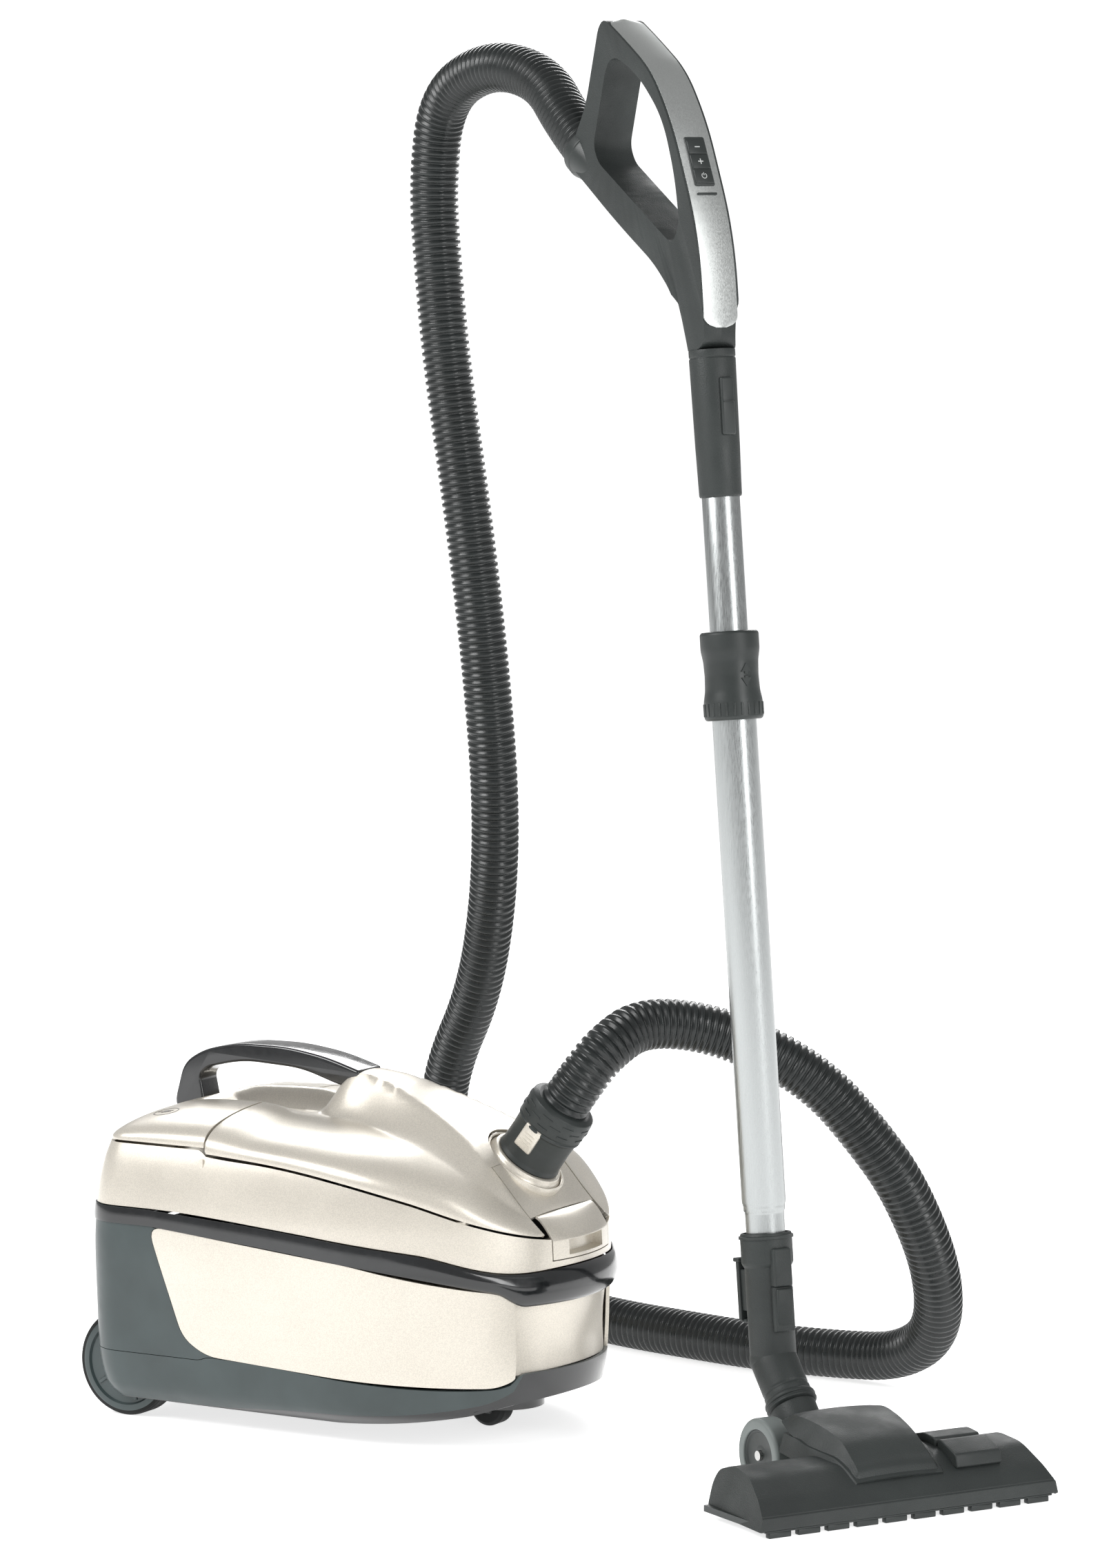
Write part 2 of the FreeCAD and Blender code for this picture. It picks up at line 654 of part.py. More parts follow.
cartridge = block((lengthwise(-170), lengthwise(-162)), (-60, 60), (upward(86), upward(154)))
node("exhaust_filter", grouped(formed(exhaust_grille()), cartridge), CANISTER)
outlet_at = place(lengthwise(-183), -100, upward(120), ALONG_X)
node("cord_outlet", without(
    fused(rod(9, 13, outlet_at), rod(12, 3, outlet_at)), rod(4.5, 20, outlet_at.multiply(place(0, 0, -2)))
), CANISTER)
board_z = upward(196)
node("circuit_board", block(
    (lengthwise(-150), lengthwise(-70)), (20, 110), (board_z, board_z + s.board_thickness)), CANISTER)
rim_top = upward(186) + 3


def lid_seal():
    ring = slab((lengthwise(-31), lengthwise(90)), (-106, 106), (rim_top, rim_top + float(s.seal_thickness)))
    inner = slab((lengthwise(-25), lengthwise(95)), (-100, 100), (rim_top - 1, rim_top + 9))
    return ring.cut(inner).common(inner_form)


node("lid_seal", formed(lid_seal()), CANISTER)
deck_top = upward(206) + 2.5
spring_top = upward(238) - 8


def coil(radius, wire_radius, length, turns):
    """A compression spring that stands on the XY plane."""
    rise = length - 2 * wire_radius
    helix = Part.Wire(Part.makeHelix(rise / turns, rise, radius).Edges)
    start = helix.Vertexes[0].Point
    ring = Part.Wire(Part.makeCircle(wire_radius, start, Y_AXIS))
    spring = formed(helix.makePipeShell([ring], True, True))
    spring.Placement = place(0, 0, wire_radius)
    return spring


for name, side in (("power", 1), ("rewind", -1)):
    spring = coil(5.5, 0.6, spring_top - deck_top, 5)
    node(f"{name}_pedal_spring", spring, CANISTER.multiply(place(lengthwise(-120), side * 95, deck_top)))

screws = [
    fused(rod(2, 20, place(x, y, s.floor_gap - 1)), rod(3.8, 2, place(x, y, s.floor_gap - 2.5)))
    for x, y in screw_places
]
node("housing_screws", fused(*screws), CANISTER)

# ---------------------------------------------------------------- handle

ARM_TURN = FreeCAD.Rotation(Y_AXIS, -52)
ARM = place(-150, 0, 282, ARM_TURN)
HAND = TOOL.multiply(HANDLE)


def handle_outline():
    outer = [(-16, 118), (-16, 210), (15, 303), (43, 350), (82, 379), (110, 400), (117, 395),
             (145, 333), (165, 309), (178, 290), (109, 235), (52, 194), (29, 169), (18, 145), (18, 118)]
    opening = [(22, 206), (9, 222), (12, 262), (25, 310), (60, 350), (103, 374), (136, 300), (130, 285)]
    return [(-back, rise) for back, rise in outer], [(-back, rise) for back, rise in opening]


def face_of(points):
    corners = [FreeCAD.Vector(x, 0, z) for x, z in points]
    return Part.Face(Part.makePolygon(corners + corners[:1]))


def cover_strip():
    """The thin cover that lies in the front of both halves."""
    outline = [(16, 130), (16, 210), (-15, 303), (-43, 350), (-82, 379), (-110, 400), (-113, 394),
               (-86, 375), (-47, 345), (-19, 300), (12, 209), (12, 130)]
    half = float(s.handle_width) / 2 - 3
    return side_prism(outline, -half, half)


KEY_ANGLE = math.degrees(math.atan2(31, 93))
KEYPAD = place(-4, 0, 270, FreeCAD.Rotation(Y_AXIS, -KEY_ANGLE))
KEY_NAMES = ("power", "plus", "minus")


def key_block(index, gap, depth):
    """One key of the column, or its pocket with a gap round it."""
    low = -18 + 12 * index
    key = Part.makeBox(depth + 1.2, 16 + 2 * gap, 9 + 2 * gap, FreeCAD.Vector(-depth, -8 - gap, low - gap))
    key.Placement = KEYPAD
    return key


def key_spaces(gap, depth):
    return key_block(0, gap, depth).fuse([key_block(1, gap, depth), key_block(2, gap, depth)])


def handle_half(side):
    outer, opening = handle_outline()
    wall = 3
    face = face_of(outer).cut(face_of(opening)).Faces[0]
    half = float(s.handle_width) / 2
    solid = face.extrude(FreeCAD.Vector(0, side * half, 0))
    hollow = [(12, 122), (12, 208), (-2, 216), (-16, 203), (-22, 176), (-14, 147), (-14, 122)]
    core = side_prism(hollow, wall - half, half - wall)
    socket = Part.makeCone(16, 23, 28, FreeCAD.Vector(0, 0, -6))
    socket.Placement = ARM
    tip = Part.makeCylinder(23, 30)
    tip.Placement = ARM.multiply(place(0, 0, 22))
    pieces = solid.cut(core).cut([socket, tip, cover_strip(), key_spaces(0.3, 5)])
    return max(pieces.Solids, key=lambda piece: piece.Volume)


for label, side, _ in SIDES:
    node(f"handle_{label}", formed(handle_half(side)), HAND)
node("handle_cover", formed(cover_strip().cut(key_spaces(0.3, 4))), HAND)
for index, name in enumerate(KEY_NAMES):
    node(f"{name}_key", formed(key_block(index, 0, 3)), HAND)

socket_cup = fused(cone(16, 23, 28, ARM.multiply(place(0, 0, -6))), rod(23, 8, ARM.multiply(place(0, 0, 22))))
node("hose_socket", without(socket_cup, rod(14, 40, ARM.multiply(place(0, 0, -8)))), HAND)
sleeve = turned([
    (s.upper_tube_radius + s.running_gap, 0), (s.sleeve_radius - 1, 0), (s.sleeve_radius, 2),
    (s.sleeve_radius, s.sleeve_length), (s.upper_tube_radius + s.running_gap, s.sleeve_length),
], HERE)
sleeve_pocket = block((s.upper_tube_radius + 0.5, 30), (-5.3, 5.3), (49.7, 95.3))
node("handle_sleeve", without(sleeve, sleeve_pocket), HAND)
sleeve_button = block((s.upper_tube_radius + 1.7, s.sleeve_radius + 1.8), (-5, 5), (50, 95))
node("sleeve_button", sleeve_button, HAND)

# ---------------------------------------------------------------- wand

STICK = TOOL.multiply(WAND)
lower_bore = s.lower_tube_radius - s.tube_wall
bush_top = s.collar_low + s.collar_length - 4
bush_radius = s.lower_tube_radius + 1.5
upper_tube = tube(
    s.upper_tube_radius, s.upper_tube_radius - s.tube_wall, s.upper_tube_low,
    s.sleeve_low + s.sleeve_length, HERE)
guide_bush = tube(
    lower_bore - 0.1, s.upper_tube_radius, s.upper_tube_low + 2, s.upper_tube_low + 20, HERE)
node("upper_tube", grouped(upper_tube, guide_bush), STICK)
lock_bush = turned([
    (s.lower_tube_radius, s.collar_low + 2), (bush_radius, s.collar_low + 2), (bush_radius, bush_top),
    (s.upper_tube_radius + 0.1, bush_top), (s.upper_tube_radius + 0.1, s.lower_tube_length),
    (s.lower_tube_radius, s.lower_tube_length),
], HERE)
lower_tube = tube(s.lower_tube_radius, lower_bore, -22, s.lower_tube_length, HERE)
node("lower_tube", grouped(lower_tube, lock_bush), STICK)
collar_high = s.collar_low + s.collar_length
waist = s.slide_collar_radius - 1.5
node("slide_collar", turned([
    (bush_radius + 0.1, s.collar_low), (s.slide_collar_radius - 1, s.collar_low),
    (s.slide_collar_radius, s.collar_low + 3), (s.slide_collar_radius, s.collar_low + 16),
    (waist, s.collar_low + 24), (waist, collar_high - 24), (s.slide_collar_radius, collar_high - 16),
    (s.slide_collar_radius, collar_high - 3), (s.slide_collar_radius - 1, collar_high),
    (bush_radius + 0.1, collar_high),
], HERE), STICK)

# ---------------------------------------------------------------- floor tool

TO_NECK = SWIVEL.inverse().multiply(WAND)
neck = without(
    fused(
        rod(s.neck_radius, 36.8, place(0, 0, 3)), ball(s.neck_radius + 0.6, place(0, 0, 39.8)),
        rod(s.neck_radius, 76.8, TO_NECK.multiply(place(0, 0, -106.8))),
        rod(s.neck_radius + 2, 26, TO_NECK.multiply(place(0, 0, -30))),
    ),
    rod(14, 38, place(0, 0, 2)), ball(14.6, place(0, 0, 39.8)),
    rod(14, 85, TO_NECK.multiply(place(0, 0, -106.8))),
    rod(s.lower_tube_radius, 20, TO_NECK.multiply(place(0, 0, -22))),
    block((15.2, 30), (-6.3, 6.3), (-80.3, -54.7), TO_NECK),
)
TOOL_NECK = TOOL.multiply(SWIVEL)
node("neck_button", block((16.4, s.neck_radius + 1.5), (-6, 6), (-80, -55)), STICK)
clip = fused(
    block((-29, -23), (-7, 7), (-92, -58)), block((-25, -s.neck_radius + 1.5), (-7, 7), (-66, -58)),
)
parking_clip = without(clip, rod(s.neck_radius, 60, place(0, 0, -104)))
parking_clip.Placement = TO_NECK
node("tool_neck", grouped(neck, parking_clip), TOOL_NECK)

elbow = without(
    fused(
        turned([(0, -6), (s.neck_radius + 2, -6), (s.neck_radius + 2, 2.7), (13.9, 2.7), (13.9, 20),
                (11.5, 20), (11.5, 0), (0, 0)], HERE),
        rod(s.neck_radius, 38, place(0, 0, -44)),
        rod(20, 46, SWIVEL.inverse().multiply(place(s.tilt_axis_x, -23, s.roller_radius, ALONG_Y))),
    ),
    rod(s.axle_radius + s.running_gap, 60,
        SWIVEL.inverse().multiply(place(s.tilt_axis_x, -30, s.roller_radius, ALONG_Y))),
)
node("elbow", elbow, TOOL_NECK)
roller_inner = s.roller_outer - s.roller_width
node("roller_axle", rod(
    s.axle_radius, s.roller_outer * 2,
    place(s.tilt_axis_x, -s.roller_outer, s.roller_radius, ALONG_Y)), TOOL)
roller_profile = [
    (s.axle_radius + s.running_gap, 0), (s.roller_radius - 2, 0), (s.roller_radius, 2),
    (s.roller_radius, s.roller_width - 2), (s.roller_radius - 2, s.roller_width),
    (20, s.roller_width), (18, s.roller_width - 2), (s.axle_radius + s.running_gap, s.roller_width - 2),
]
for label, side, across in SIDES:
    roller_at = place(s.tilt_axis_x, side * roller_inner, s.roller_radius, across)
    node(f"roller_{label}", turned(roller_profile, roller_at), TOOL)

half_tool = s.tool_width / 2
cover_low = s.skirt_height + 1.5
sole_x = (3 - s.tool_depth, -3)
arm_in = s.neck_radius + 5
arm_out = roller_inner - 1
arms = []
for side in (1, -1):
    limits = (arm_in, arm_out) if side > 0 else (-arm_out, -arm_in)
    across = ALONG_Y if side > 0 else RIGHT_HAND
    arms.append(block((s.tilt_axis_x, sole_x[0] + 6), limits, (20, 38)))
    arms.append(block((sole_x[0] - 8, sole_x[0] + 6), limits, (cover_low, 38)))
    arms.append(rod(12, arm_out - arm_in, place(s.tilt_axis_x, side * arm_in, s.roller_radius, across)))
slot_x = (-62, -50)
sole = without(
    fused(block(sole_x, (3 - half_tool, half_tool - 3), (cover_low, cover_low + 5)), *arms),
    rod(s.axle_radius, s.roller_outer * 2, place(s.tilt_axis_x, -s.roller_outer, s.roller_radius, ALONG_Y)),
    block(slot_x, (-122, 122), (0, cover_low + 9)),
)
node("sole_plate", sole, TOOL)
node("bristle_strip", block((-60, -52), (-121, 121), (cover_low, 18)), TOOL)


def tool_profile(inset):
    depth = float(s.tool_depth)
    low = float(cover_low)
    return [
        (-inset, low), (-2 - inset, 17 - inset / 2), (-12 - inset / 2, 27 - inset), (-35, 43 - inset),
        (-62, 46 - inset), (6 - depth + inset / 2, 38 - inset), (inset - depth, 26 - inset / 2),
        (inset - depth, low),
    ]


HOOD = [(-93, 39), (-93, 43), (-72, 52), (-46, 50), (-24, 38), (-28, 34), (-46, 44), (-72, 46),
        (-84, 39)]
ROCKER_Y = (54, 98)
ROCKER_PADS = [(-80, 47.5), (-62, 51), (-49, 49.5), (-46, 45.5), (-41, 48), (-17, 36), (-15, 32),
               (-18, 30.5), (-42, 42), (-47, 41), (-80, 42)]
ROCKER_POCKET = [(-81.5, 60), (-81.5, 38), (-46, 36), (-13.5, 25), (-13.5, 60)]
ROCKER_LINER = [(-84, 60), (-84, 35.5), (-47, 33.5), (-11, 22), (-11, 60)]


def tool_cover():
    half = float(half_tool)
    outside = side_prism(tool_profile(0), -half, half)
    wall = 2.5
    inside = side_prism(tool_profile(wall), wall - half, half - wall)
    low = float(cover_low)
    under = slab((3 - float(s.tool_depth), -3), (3 - half, half - 3), (0, low + 5))
    pocket = side_prism(ROCKER_POCKET, ROCKER_Y[0] - 1, ROCKER_Y[1] + 1)
    liner = side_prism(ROCKER_LINER, ROCKER_Y[0] - 3, ROCKER_Y[1] + 3)
    shell = outside.cut([inside, under]).fuse(liner.common(outside)).cut(pocket)
    arm_gap = slab((-FAR, 10 - float(s.tool_depth)), (-float(arm_out) - 0.5, float(arm_out) + 0.5), (0, 39))
    return shell.cut([arm_gap, side_prism(HOOD, -60, 16)])


node("tool_cover", grouped(formed(tool_cover()), formed(side_prism(HOOD, -50, 50))), TOOL)
rocker = side_prism(ROCKER_PADS, *ROCKER_Y)
pivot = round_bar(3.5, ROCKER_Y[1] - ROCKER_Y[0], -47, ROCKER_Y[0], 40, Y_AXIS)
node("rocker_pedal", formed(rocker.fuse(pivot)), TOOL)
tooth_width = s.tooth_pitch - 6.5
teeth_start = -(s.tooth_count - 1) * s.tooth_pitch / 2
teeth = [
    block((-6, 0), (teeth_start + index * s.tooth_pitch - tooth_width / 2,
                    teeth_start + index * s.tooth_pitch + tooth_width / 2), (0, s.skirt_height))
    for index in range(int(float(s.tooth_count)))
]
strip = block((-8, 0), (5.5 - half_tool, half_tool - 5.5), (s.skirt_height, cover_low))
node("front_skirt", fused(strip, *teeth), TOOL)

# ---------------------------------------------------------------- suction hose

HOSE_ROUTE = [
    (209, 0, 279.1), (225.5, 0, 301.8), (240, 14, 326), (254, 48, 344), (290, 86, 339),
    (335, 113, 320), (377, 140, 289), (406, 163, 246), (428, 192, 198), (437, 238, 122),
    (416, 282, 58), (367, 307, 27), (302, 317, 21), (222, 314, 21), (140, 330, 21),
    (75, 344, 21), (4, 360, 24), (-50, 364, 48), (-90, 363, 86), (-116, 359, 134),
    (-123, 352, 189), (-110, 342, 242), (-66, 322, 312), (-33, 292, 398), (-18, 272, 490),
    (-17, 254, 605), (-25, 239, 736), (-42, 228, 881), (-49, 226, 961), (-54, 225, 1034),
    (-38, 214, 1111), (29, 182, 1140), (100, 152, 1128), (149, 111, 1088), (176.5, 95, 1067.9),
]


def hose_shape():
    """A tube along straight runs joined by tangent arcs."""
    points = [FreeCAD.Vector(*point) for point in HOSE_ROUTE]
    edges = []
    last = points[0]
    radii = []
    for before, here, after in zip(points, points[1:], points[2:]):
        back = before - here
        on = after - here
        shorter = min(back.Length, on.Length)
        back.normalize()
        on.normalize()
        half_turn = (math.pi - back.getAngle(on)) / 2
        radius = 0.45 * shorter / math.tan(half_turn)
        radii.append(radius)
        start = here + back * 0.45 * shorter
        end = here + on * 0.45 * shorter
        centre_way = (back + on).normalize()
        middle = here + centre_way * (radius / math.cos(half_turn) - radius)
        edges.append(Part.LineSegment(last, start).toShape())
        edges.append(Part.Arc(start, middle, end).toShape())
        last = end
    edges.append(Part.LineSegment(last, points[-1]).toShape())
    path = Part.Wire(edges)
    first_way = points[1] - points[0]
    rings = [Part.Wire(Part.makeCircle(radius, points[0], first_way))
             for radius in (float(s.hose_radius), float(s.hose_radius - s.hose_wall))]
    outside, bore = [path.makePipeShell([ring], True, False, 2) for ring in rings]
    hose = outside.cut(bore)
    expected = math.pi * (float(s.hose_radius)**2 - float(s.hose_radius - s.hose_wall)**2) * path.Length
    print("hose radii", [round(radius) for radius in radii])
    print(f"hose length {path.Length:.0f}, volume ratio {hose.Volume / expected:.4f}")
    return hose


node("suction_hose", formed(hose_shape()), CANISTER)

# ---------------------------------------------------------------- hand-in

document.recompute()
os.makedirs("parts", exist_ok=True)
for feature in document.Objects:
    if "Invalid" in feature.State or "Error" in feature.State:
        raise RuntimeError(f"{feature.Label} failed: {feature.State}")
for label, feature in nodes:
    if feature.Shape.isNull() or not feature.Shape.isValid():
        raise RuntimeError(f"{label} has no valid shape")
for label, feature in nodes:
    feature.Shape.exportStep(f"parts/{label}.step")
    print(f"{label}: {len(feature.Shape.Solids)} solids, {feature.Shape.Volume / 1000:.1f} cm3")
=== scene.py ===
"""Canister vacuum cleaner: the visible model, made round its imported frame."""

import math

import bmesh
import bpy
from bpy.props import FloatProperty, FloatVectorProperty, IntProperty, PointerProperty
from mathutils import Matrix, Vector


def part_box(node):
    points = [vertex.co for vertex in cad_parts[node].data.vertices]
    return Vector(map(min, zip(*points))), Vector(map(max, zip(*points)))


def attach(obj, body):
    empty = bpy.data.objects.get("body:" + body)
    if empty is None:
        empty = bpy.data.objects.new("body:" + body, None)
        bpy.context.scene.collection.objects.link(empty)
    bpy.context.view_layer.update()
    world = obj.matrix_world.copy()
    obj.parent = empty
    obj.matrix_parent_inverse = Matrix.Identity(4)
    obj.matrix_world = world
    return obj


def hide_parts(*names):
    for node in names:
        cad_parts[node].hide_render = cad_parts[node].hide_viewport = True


bl_info = {
    "name": "Canister Vacuum Cleaner",
    "version": (1, 0, 0),
    "blender": (4, 5, 0),
    "location": "3D View > Sidebar > Vacuum",
    "description": "Builds a canister vacuum cleaner with its hose, wand and floor tool",
    "category": "Object",
}

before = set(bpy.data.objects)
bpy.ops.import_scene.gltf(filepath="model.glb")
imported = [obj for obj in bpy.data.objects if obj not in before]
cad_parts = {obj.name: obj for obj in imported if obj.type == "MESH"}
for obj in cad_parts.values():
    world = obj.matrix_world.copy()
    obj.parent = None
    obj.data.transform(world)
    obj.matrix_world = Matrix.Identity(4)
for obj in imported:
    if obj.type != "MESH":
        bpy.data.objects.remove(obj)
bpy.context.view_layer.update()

# Shapes are drawn in millimetres in the frame of their own part of the machine, and each
# finished mesh is moved to its place in metres.
METRES = Matrix.Scale(0.001, 4)
CANISTER = Matrix.Translation((-241, 60, 0))
TOOL = Matrix.Translation((366.7, -88, 0)) @ Matrix.Rotation(math.radians(-29.4), 4, "Z")
INLET = CANISTER @ Matrix.Translation((169, 0, 224)) @ Matrix.Rotation(math.radians(36), 4, "Y")
WAND = TOOL @ Matrix.Translation((-214.4, 0, 200)) @ Matrix.Rotation(math.radians(-6.9), 4, "Y")
SWIVEL = TOOL @ Matrix.Translation((-176, 0, 63.5)) @ Matrix.Rotation(math.radians(-40), 4, "Y")
HAND = WAND @ Matrix.Translation((0, 0, 594))
ARM = HAND @ Matrix.Translation((-150, 0, 282)) @ Matrix.Rotation(math.radians(-52), 4, "Y")
KEYPAD = HAND @ Matrix.Translation((-4, 0, 270)) @ Matrix.Rotation(-math.atan2(31, 93), 4, "Y")
SIDES = (("left", 1), ("right", -1))


# ---------------------------------------------------------------- settings

class BodySizes(bpy.types.PropertyGroup):
    wall: FloatProperty(
        name="Wall", description="Thickness of the moulded shells",
        default=0.003, min=0.001, unit="LENGTH")
    seam: FloatProperty(
        name="Seam", description="Open gap between two shells",
        default=0.0011, min=0.0002, unit="LENGTH")
    soft_edge: FloatProperty(
        name="Soft edge", description="Rounding of the shells' edges",
        default=0.0009, min=0.0001, unit="LENGTH")
    hose_pitch: FloatProperty(
        name="Hose pitch", description="Distance from one hose ridge to the next",
        default=0.0063, min=0.003, unit="LENGTH")
    hose_ridge: FloatProperty(
        name="Hose ridge", description="Height of a hose ridge",
        default=0.0022, min=0.0005, unit="LENGTH")
    tuft_count: IntProperty(
        name="Tufts", description="Bristle tufts along the floor tool", default=60, min=10)


class FinishColours(bpy.types.PropertyGroup):
    champagne: FloatVectorProperty(
        name="Champagne", description="Pearl paint of the upper shells",
        default=(0.70, 0.655, 0.575), subtype="COLOR")
    slate: FloatVectorProperty(
        name="Slate", description="Satin plastic of the rear shell",
        default=(0.040, 0.056, 0.057), subtype="COLOR")
    black: FloatVectorProperty(
        name="Gloss black", description="Band, carry handle and base edge",
        default=(0.008, 0.009, 0.010), subtype="COLOR")
    grained: FloatVectorProperty(
        name="Grained black", description="Moulded grain of handle, neck and floor tool",
        default=(0.022, 0.027, 0.026), subtype="COLOR")
    hose: FloatVectorProperty(
        name="Hose black", description="Ribbed hose",
        default=(0.012, 0.015, 0.015), subtype="COLOR")
    aluminium: FloatVectorProperty(
        name="Aluminium", description="Satin tubes of the wand",
        default=(0.46, 0.48, 0.48), subtype="COLOR")


def sizes():
    return bpy.context.scene.vacuum_sizes


def colours():
    return bpy.context.scene.vacuum_colours


# ---------------------------------------------------------------- finishes

class Finish:
    """A material under construction: its nodes, its shader and its coordinates."""

    def __init__(self, name, colour, roughness, metallic=0.0, coat=0.0, specular=0.5):
        self.material = bpy.data.materials.new(name)
        self.material.use_nodes = True
        self.material.diffuse_color = (*colour, 1)
        self.tree = self.material.node_tree
        self.shader = self.tree.nodes["Principled BSDF"]
        self.colour = colour
        for socket, value in (("Base Color", (*colour, 1)), ("Roughness", roughness),
                              ("Metallic", metallic), ("Coat Weight", coat),
                              ("Specular IOR Level", specular)):
            self.shader.inputs[socket].default_value = value
        self.shader.inputs["Coat Roughness"].default_value = 0.08
        self.place = self.tree.nodes.new("ShaderNodeTexCoord").outputs["Object"]

    def link(self, start, end):
        self.tree.links.new(start, end)

    def node(self, kind, **values):
        made = self.tree.nodes.new(kind)
        for name, value in values.items():
            made.inputs[name.replace("_", " ")].default_value = value
        return made

    def turned(self, turn, stretch):
        """Coordinates turned to a part's own axes and stretched along them."""
        mapping = self.node("ShaderNodeMapping", Rotation=turn, Scale=stretch)
        self.link(self.place, mapping.inputs["Vector"])
        return mapping.outputs["Vector"]

    def noise(self, scale, detail=2.0, place=None):
        made = self.node("ShaderNodeTexNoise", Scale=scale, Detail=detail)
        self.link(place or self.place, made.inputs["Vector"])
        return made.outputs["Fac"]

    def cells(self, scale):
        made = self.node("ShaderNodeTexVoronoi", Scale=scale)
        self.link(self.place, made.inputs["Vector"])
        return made.outputs

    def ranged(self, value, low, high, start=0.35, end=0.65):
        made = self.node("ShaderNodeMapRange")
        for index, number in enumerate((start, end, low, high), start=1):
            made.inputs[index].default_value = number
        self.link(value, made.inputs[0])
        return made.outputs[0]

    def shaded(self, value, darker, lighter, start=0.3, end=0.7):
        """Vary the base colour between two strengths of itself."""
        ramp = self.tree.nodes.new("ShaderNodeValToRGB")
        ramp.color_ramp.elements[0].position = start
        ramp.color_ramp.elements[1].position = end
        for element, strength in zip(ramp.color_ramp.elements, (darker, lighter)):
            element.color = (*[min(1, part * strength) for part in self.colour], 1)
        self.link(value, ramp.inputs["Fac"])
        self.link(ramp.outputs["Color"], self.shader.inputs["Base Color"])

    def rough(self, value, low, high):
        self.link(self.ranged(value, low, high), self.shader.inputs["Roughness"])

    def raised(self, *layers):
        """Add relief: each layer is a value with its height in metres."""
        normal = None
        for value, height in layers:
            bump = self.node("ShaderNodeBump", Strength=1.0, Distance=height)
            self.link(value, bump.inputs["Height"])
            if normal:
                self.link(normal, bump.inputs["Normal"])
            normal = bump.outputs["Normal"]
        self.link(normal, self.shader.inputs["Normal"])
        return self.material


def pearl_paint():
    """Pearl paint: fine flakes that differ in brightness under a thin clear coat."""
    made = Finish("champagne_pearl", colours().champagne, 0.33, metallic=0.45, coat=0.25)
    flakes = made.cells(1700)
    made.shaded(flakes["Color"], 0.93, 1.07)
    made.rough(made.noise(16, 3), 0.28, 0.37)
    return made.raised((flakes["Distance"], 0.000035), (made.noise(60, 2), 0.00006))


def satin_plastic(name, colour, roughness, grain, coat=0.0):
    """Moulded plastic with a fine spark-eroded grain and slight wear."""
    made = Finish(name, colour, roughness, coat=coat)
    made.shaded(made.noise(22, 4), 0.86, 1.16)
    made.rough(made.noise(35, 4), roughness - 0.05, roughness + 0.07)
    return made.raised((made.noise(2400, 2), grain), (made.noise(90, 2), 0.00005))


def leather_grain(name, colour, height=0.00011):
    """Deep moulded grain, as on grips and floor tools: pebbles with grooves between them."""
    made = Finish(name, colour, 0.52)
    made.shaded(made.noise(14, 4), 0.82, 1.22)
    pebbles = made.cells(900)["Distance"]
    made.rough(made.noise(40, 3), 0.46, 0.6)
    return made.raised((pebbles, height), (made.noise(1500, 2), height * 0.5))


def gloss_plastic():
    """Polished black with faint waves and dust-fine scratches."""
    made = Finish("gloss_black", colours().black, 0.16, coat=0.6)
    made.shaded(made.noise(30, 3), 0.75, 1.35)
    made.rough(made.noise(180, 5), 0.12, 0.22)
    return made.raised((made.noise(28, 1), 0.00012),)


def brushed_metal(name, colour, turn, roughness=0.3, along=24):
    """Metal with drawing lines that run along the part's own Z axis."""
    made = Finish(name, colour, roughness, metallic=1.0)
    lines = made.noise(1.0, 3, made.turned(turn, (1400, 1400, along)))
    made.shaded(lines, 0.9, 1.06)
    made.rough(lines, roughness - 0.05, roughness + 0.08)
    return made.raised((lines, 0.00002),)


def ribbed_hose():
    made = Finish("hose_black", colours().hose, 0.3)
    made.shaded(made.noise(20, 4), 0.8, 1.25)
    made.rough(made.noise(120, 4), 0.24, 0.38)
    return made.raised((made.noise(900, 2), 0.00004),)


def soft_rubber():
    made = Finish("tyre_rubber", (0.013, 0.014, 0.014), 0.72, specular=0.3)
    made.shaded(made.noise(45, 5), 0.7, 1.5)
    made.rough(made.noise(60, 4), 0.62, 0.82)
    return made.raised((made.noise(1800, 3), 0.00006),)


def bag_paper():
    """Bag paper: long pale fibres, pressed creases and a matt face."""
    made = Finish("bag_paper", (0.72, 0.66, 0.55), 0.9, specular=0.2)
    fibres = made.noise(1.0, 4, made.turned((0.4, 0.2, 0.3), (260, 1200, 900)))
    made.shaded(fibres, 0.84, 1.08)
    made.rough(fibres, 0.82, 0.95)
    return made.raised((fibres, 0.00012), (made.noise(38, 3), 0.0012))


def filter_felt():
    made = Finish("filter_felt", (0.62, 0.66, 0.64), 0.95, specular=0.15)
    made.shaded(made.noise(700, 4), 0.8, 1.12)
    made.rough(made.noise(300, 2), 0.88, 0.98)
    return made.raised((made.noise(1300, 4), 0.0003),)


def circuit_resin():
    """Green board with copper tracks under the lacquer."""
    made = Finish("circuit_board", (0.02, 0.16, 0.06), 0.32, coat=0.5)
    made.shaded(made.cells(190)["Distance"], 0.6, 2.1, 0.2, 0.24)
    made.rough(made.noise(80, 2), 0.28, 0.4)
    return made.raised((made.cells(190)["Distance"], 0.00008),)


def bristle_hair():
    made = Finish("bristle_hair", (0.03, 0.032, 0.033), 0.6)
    made.shaded(made.noise(500, 2), 0.6, 1.7)
    made.rough(made.noise(300, 2), 0.5, 0.7)
    return made.raised((made.noise(1500, 2), 0.00004),)


FINISHES = {}


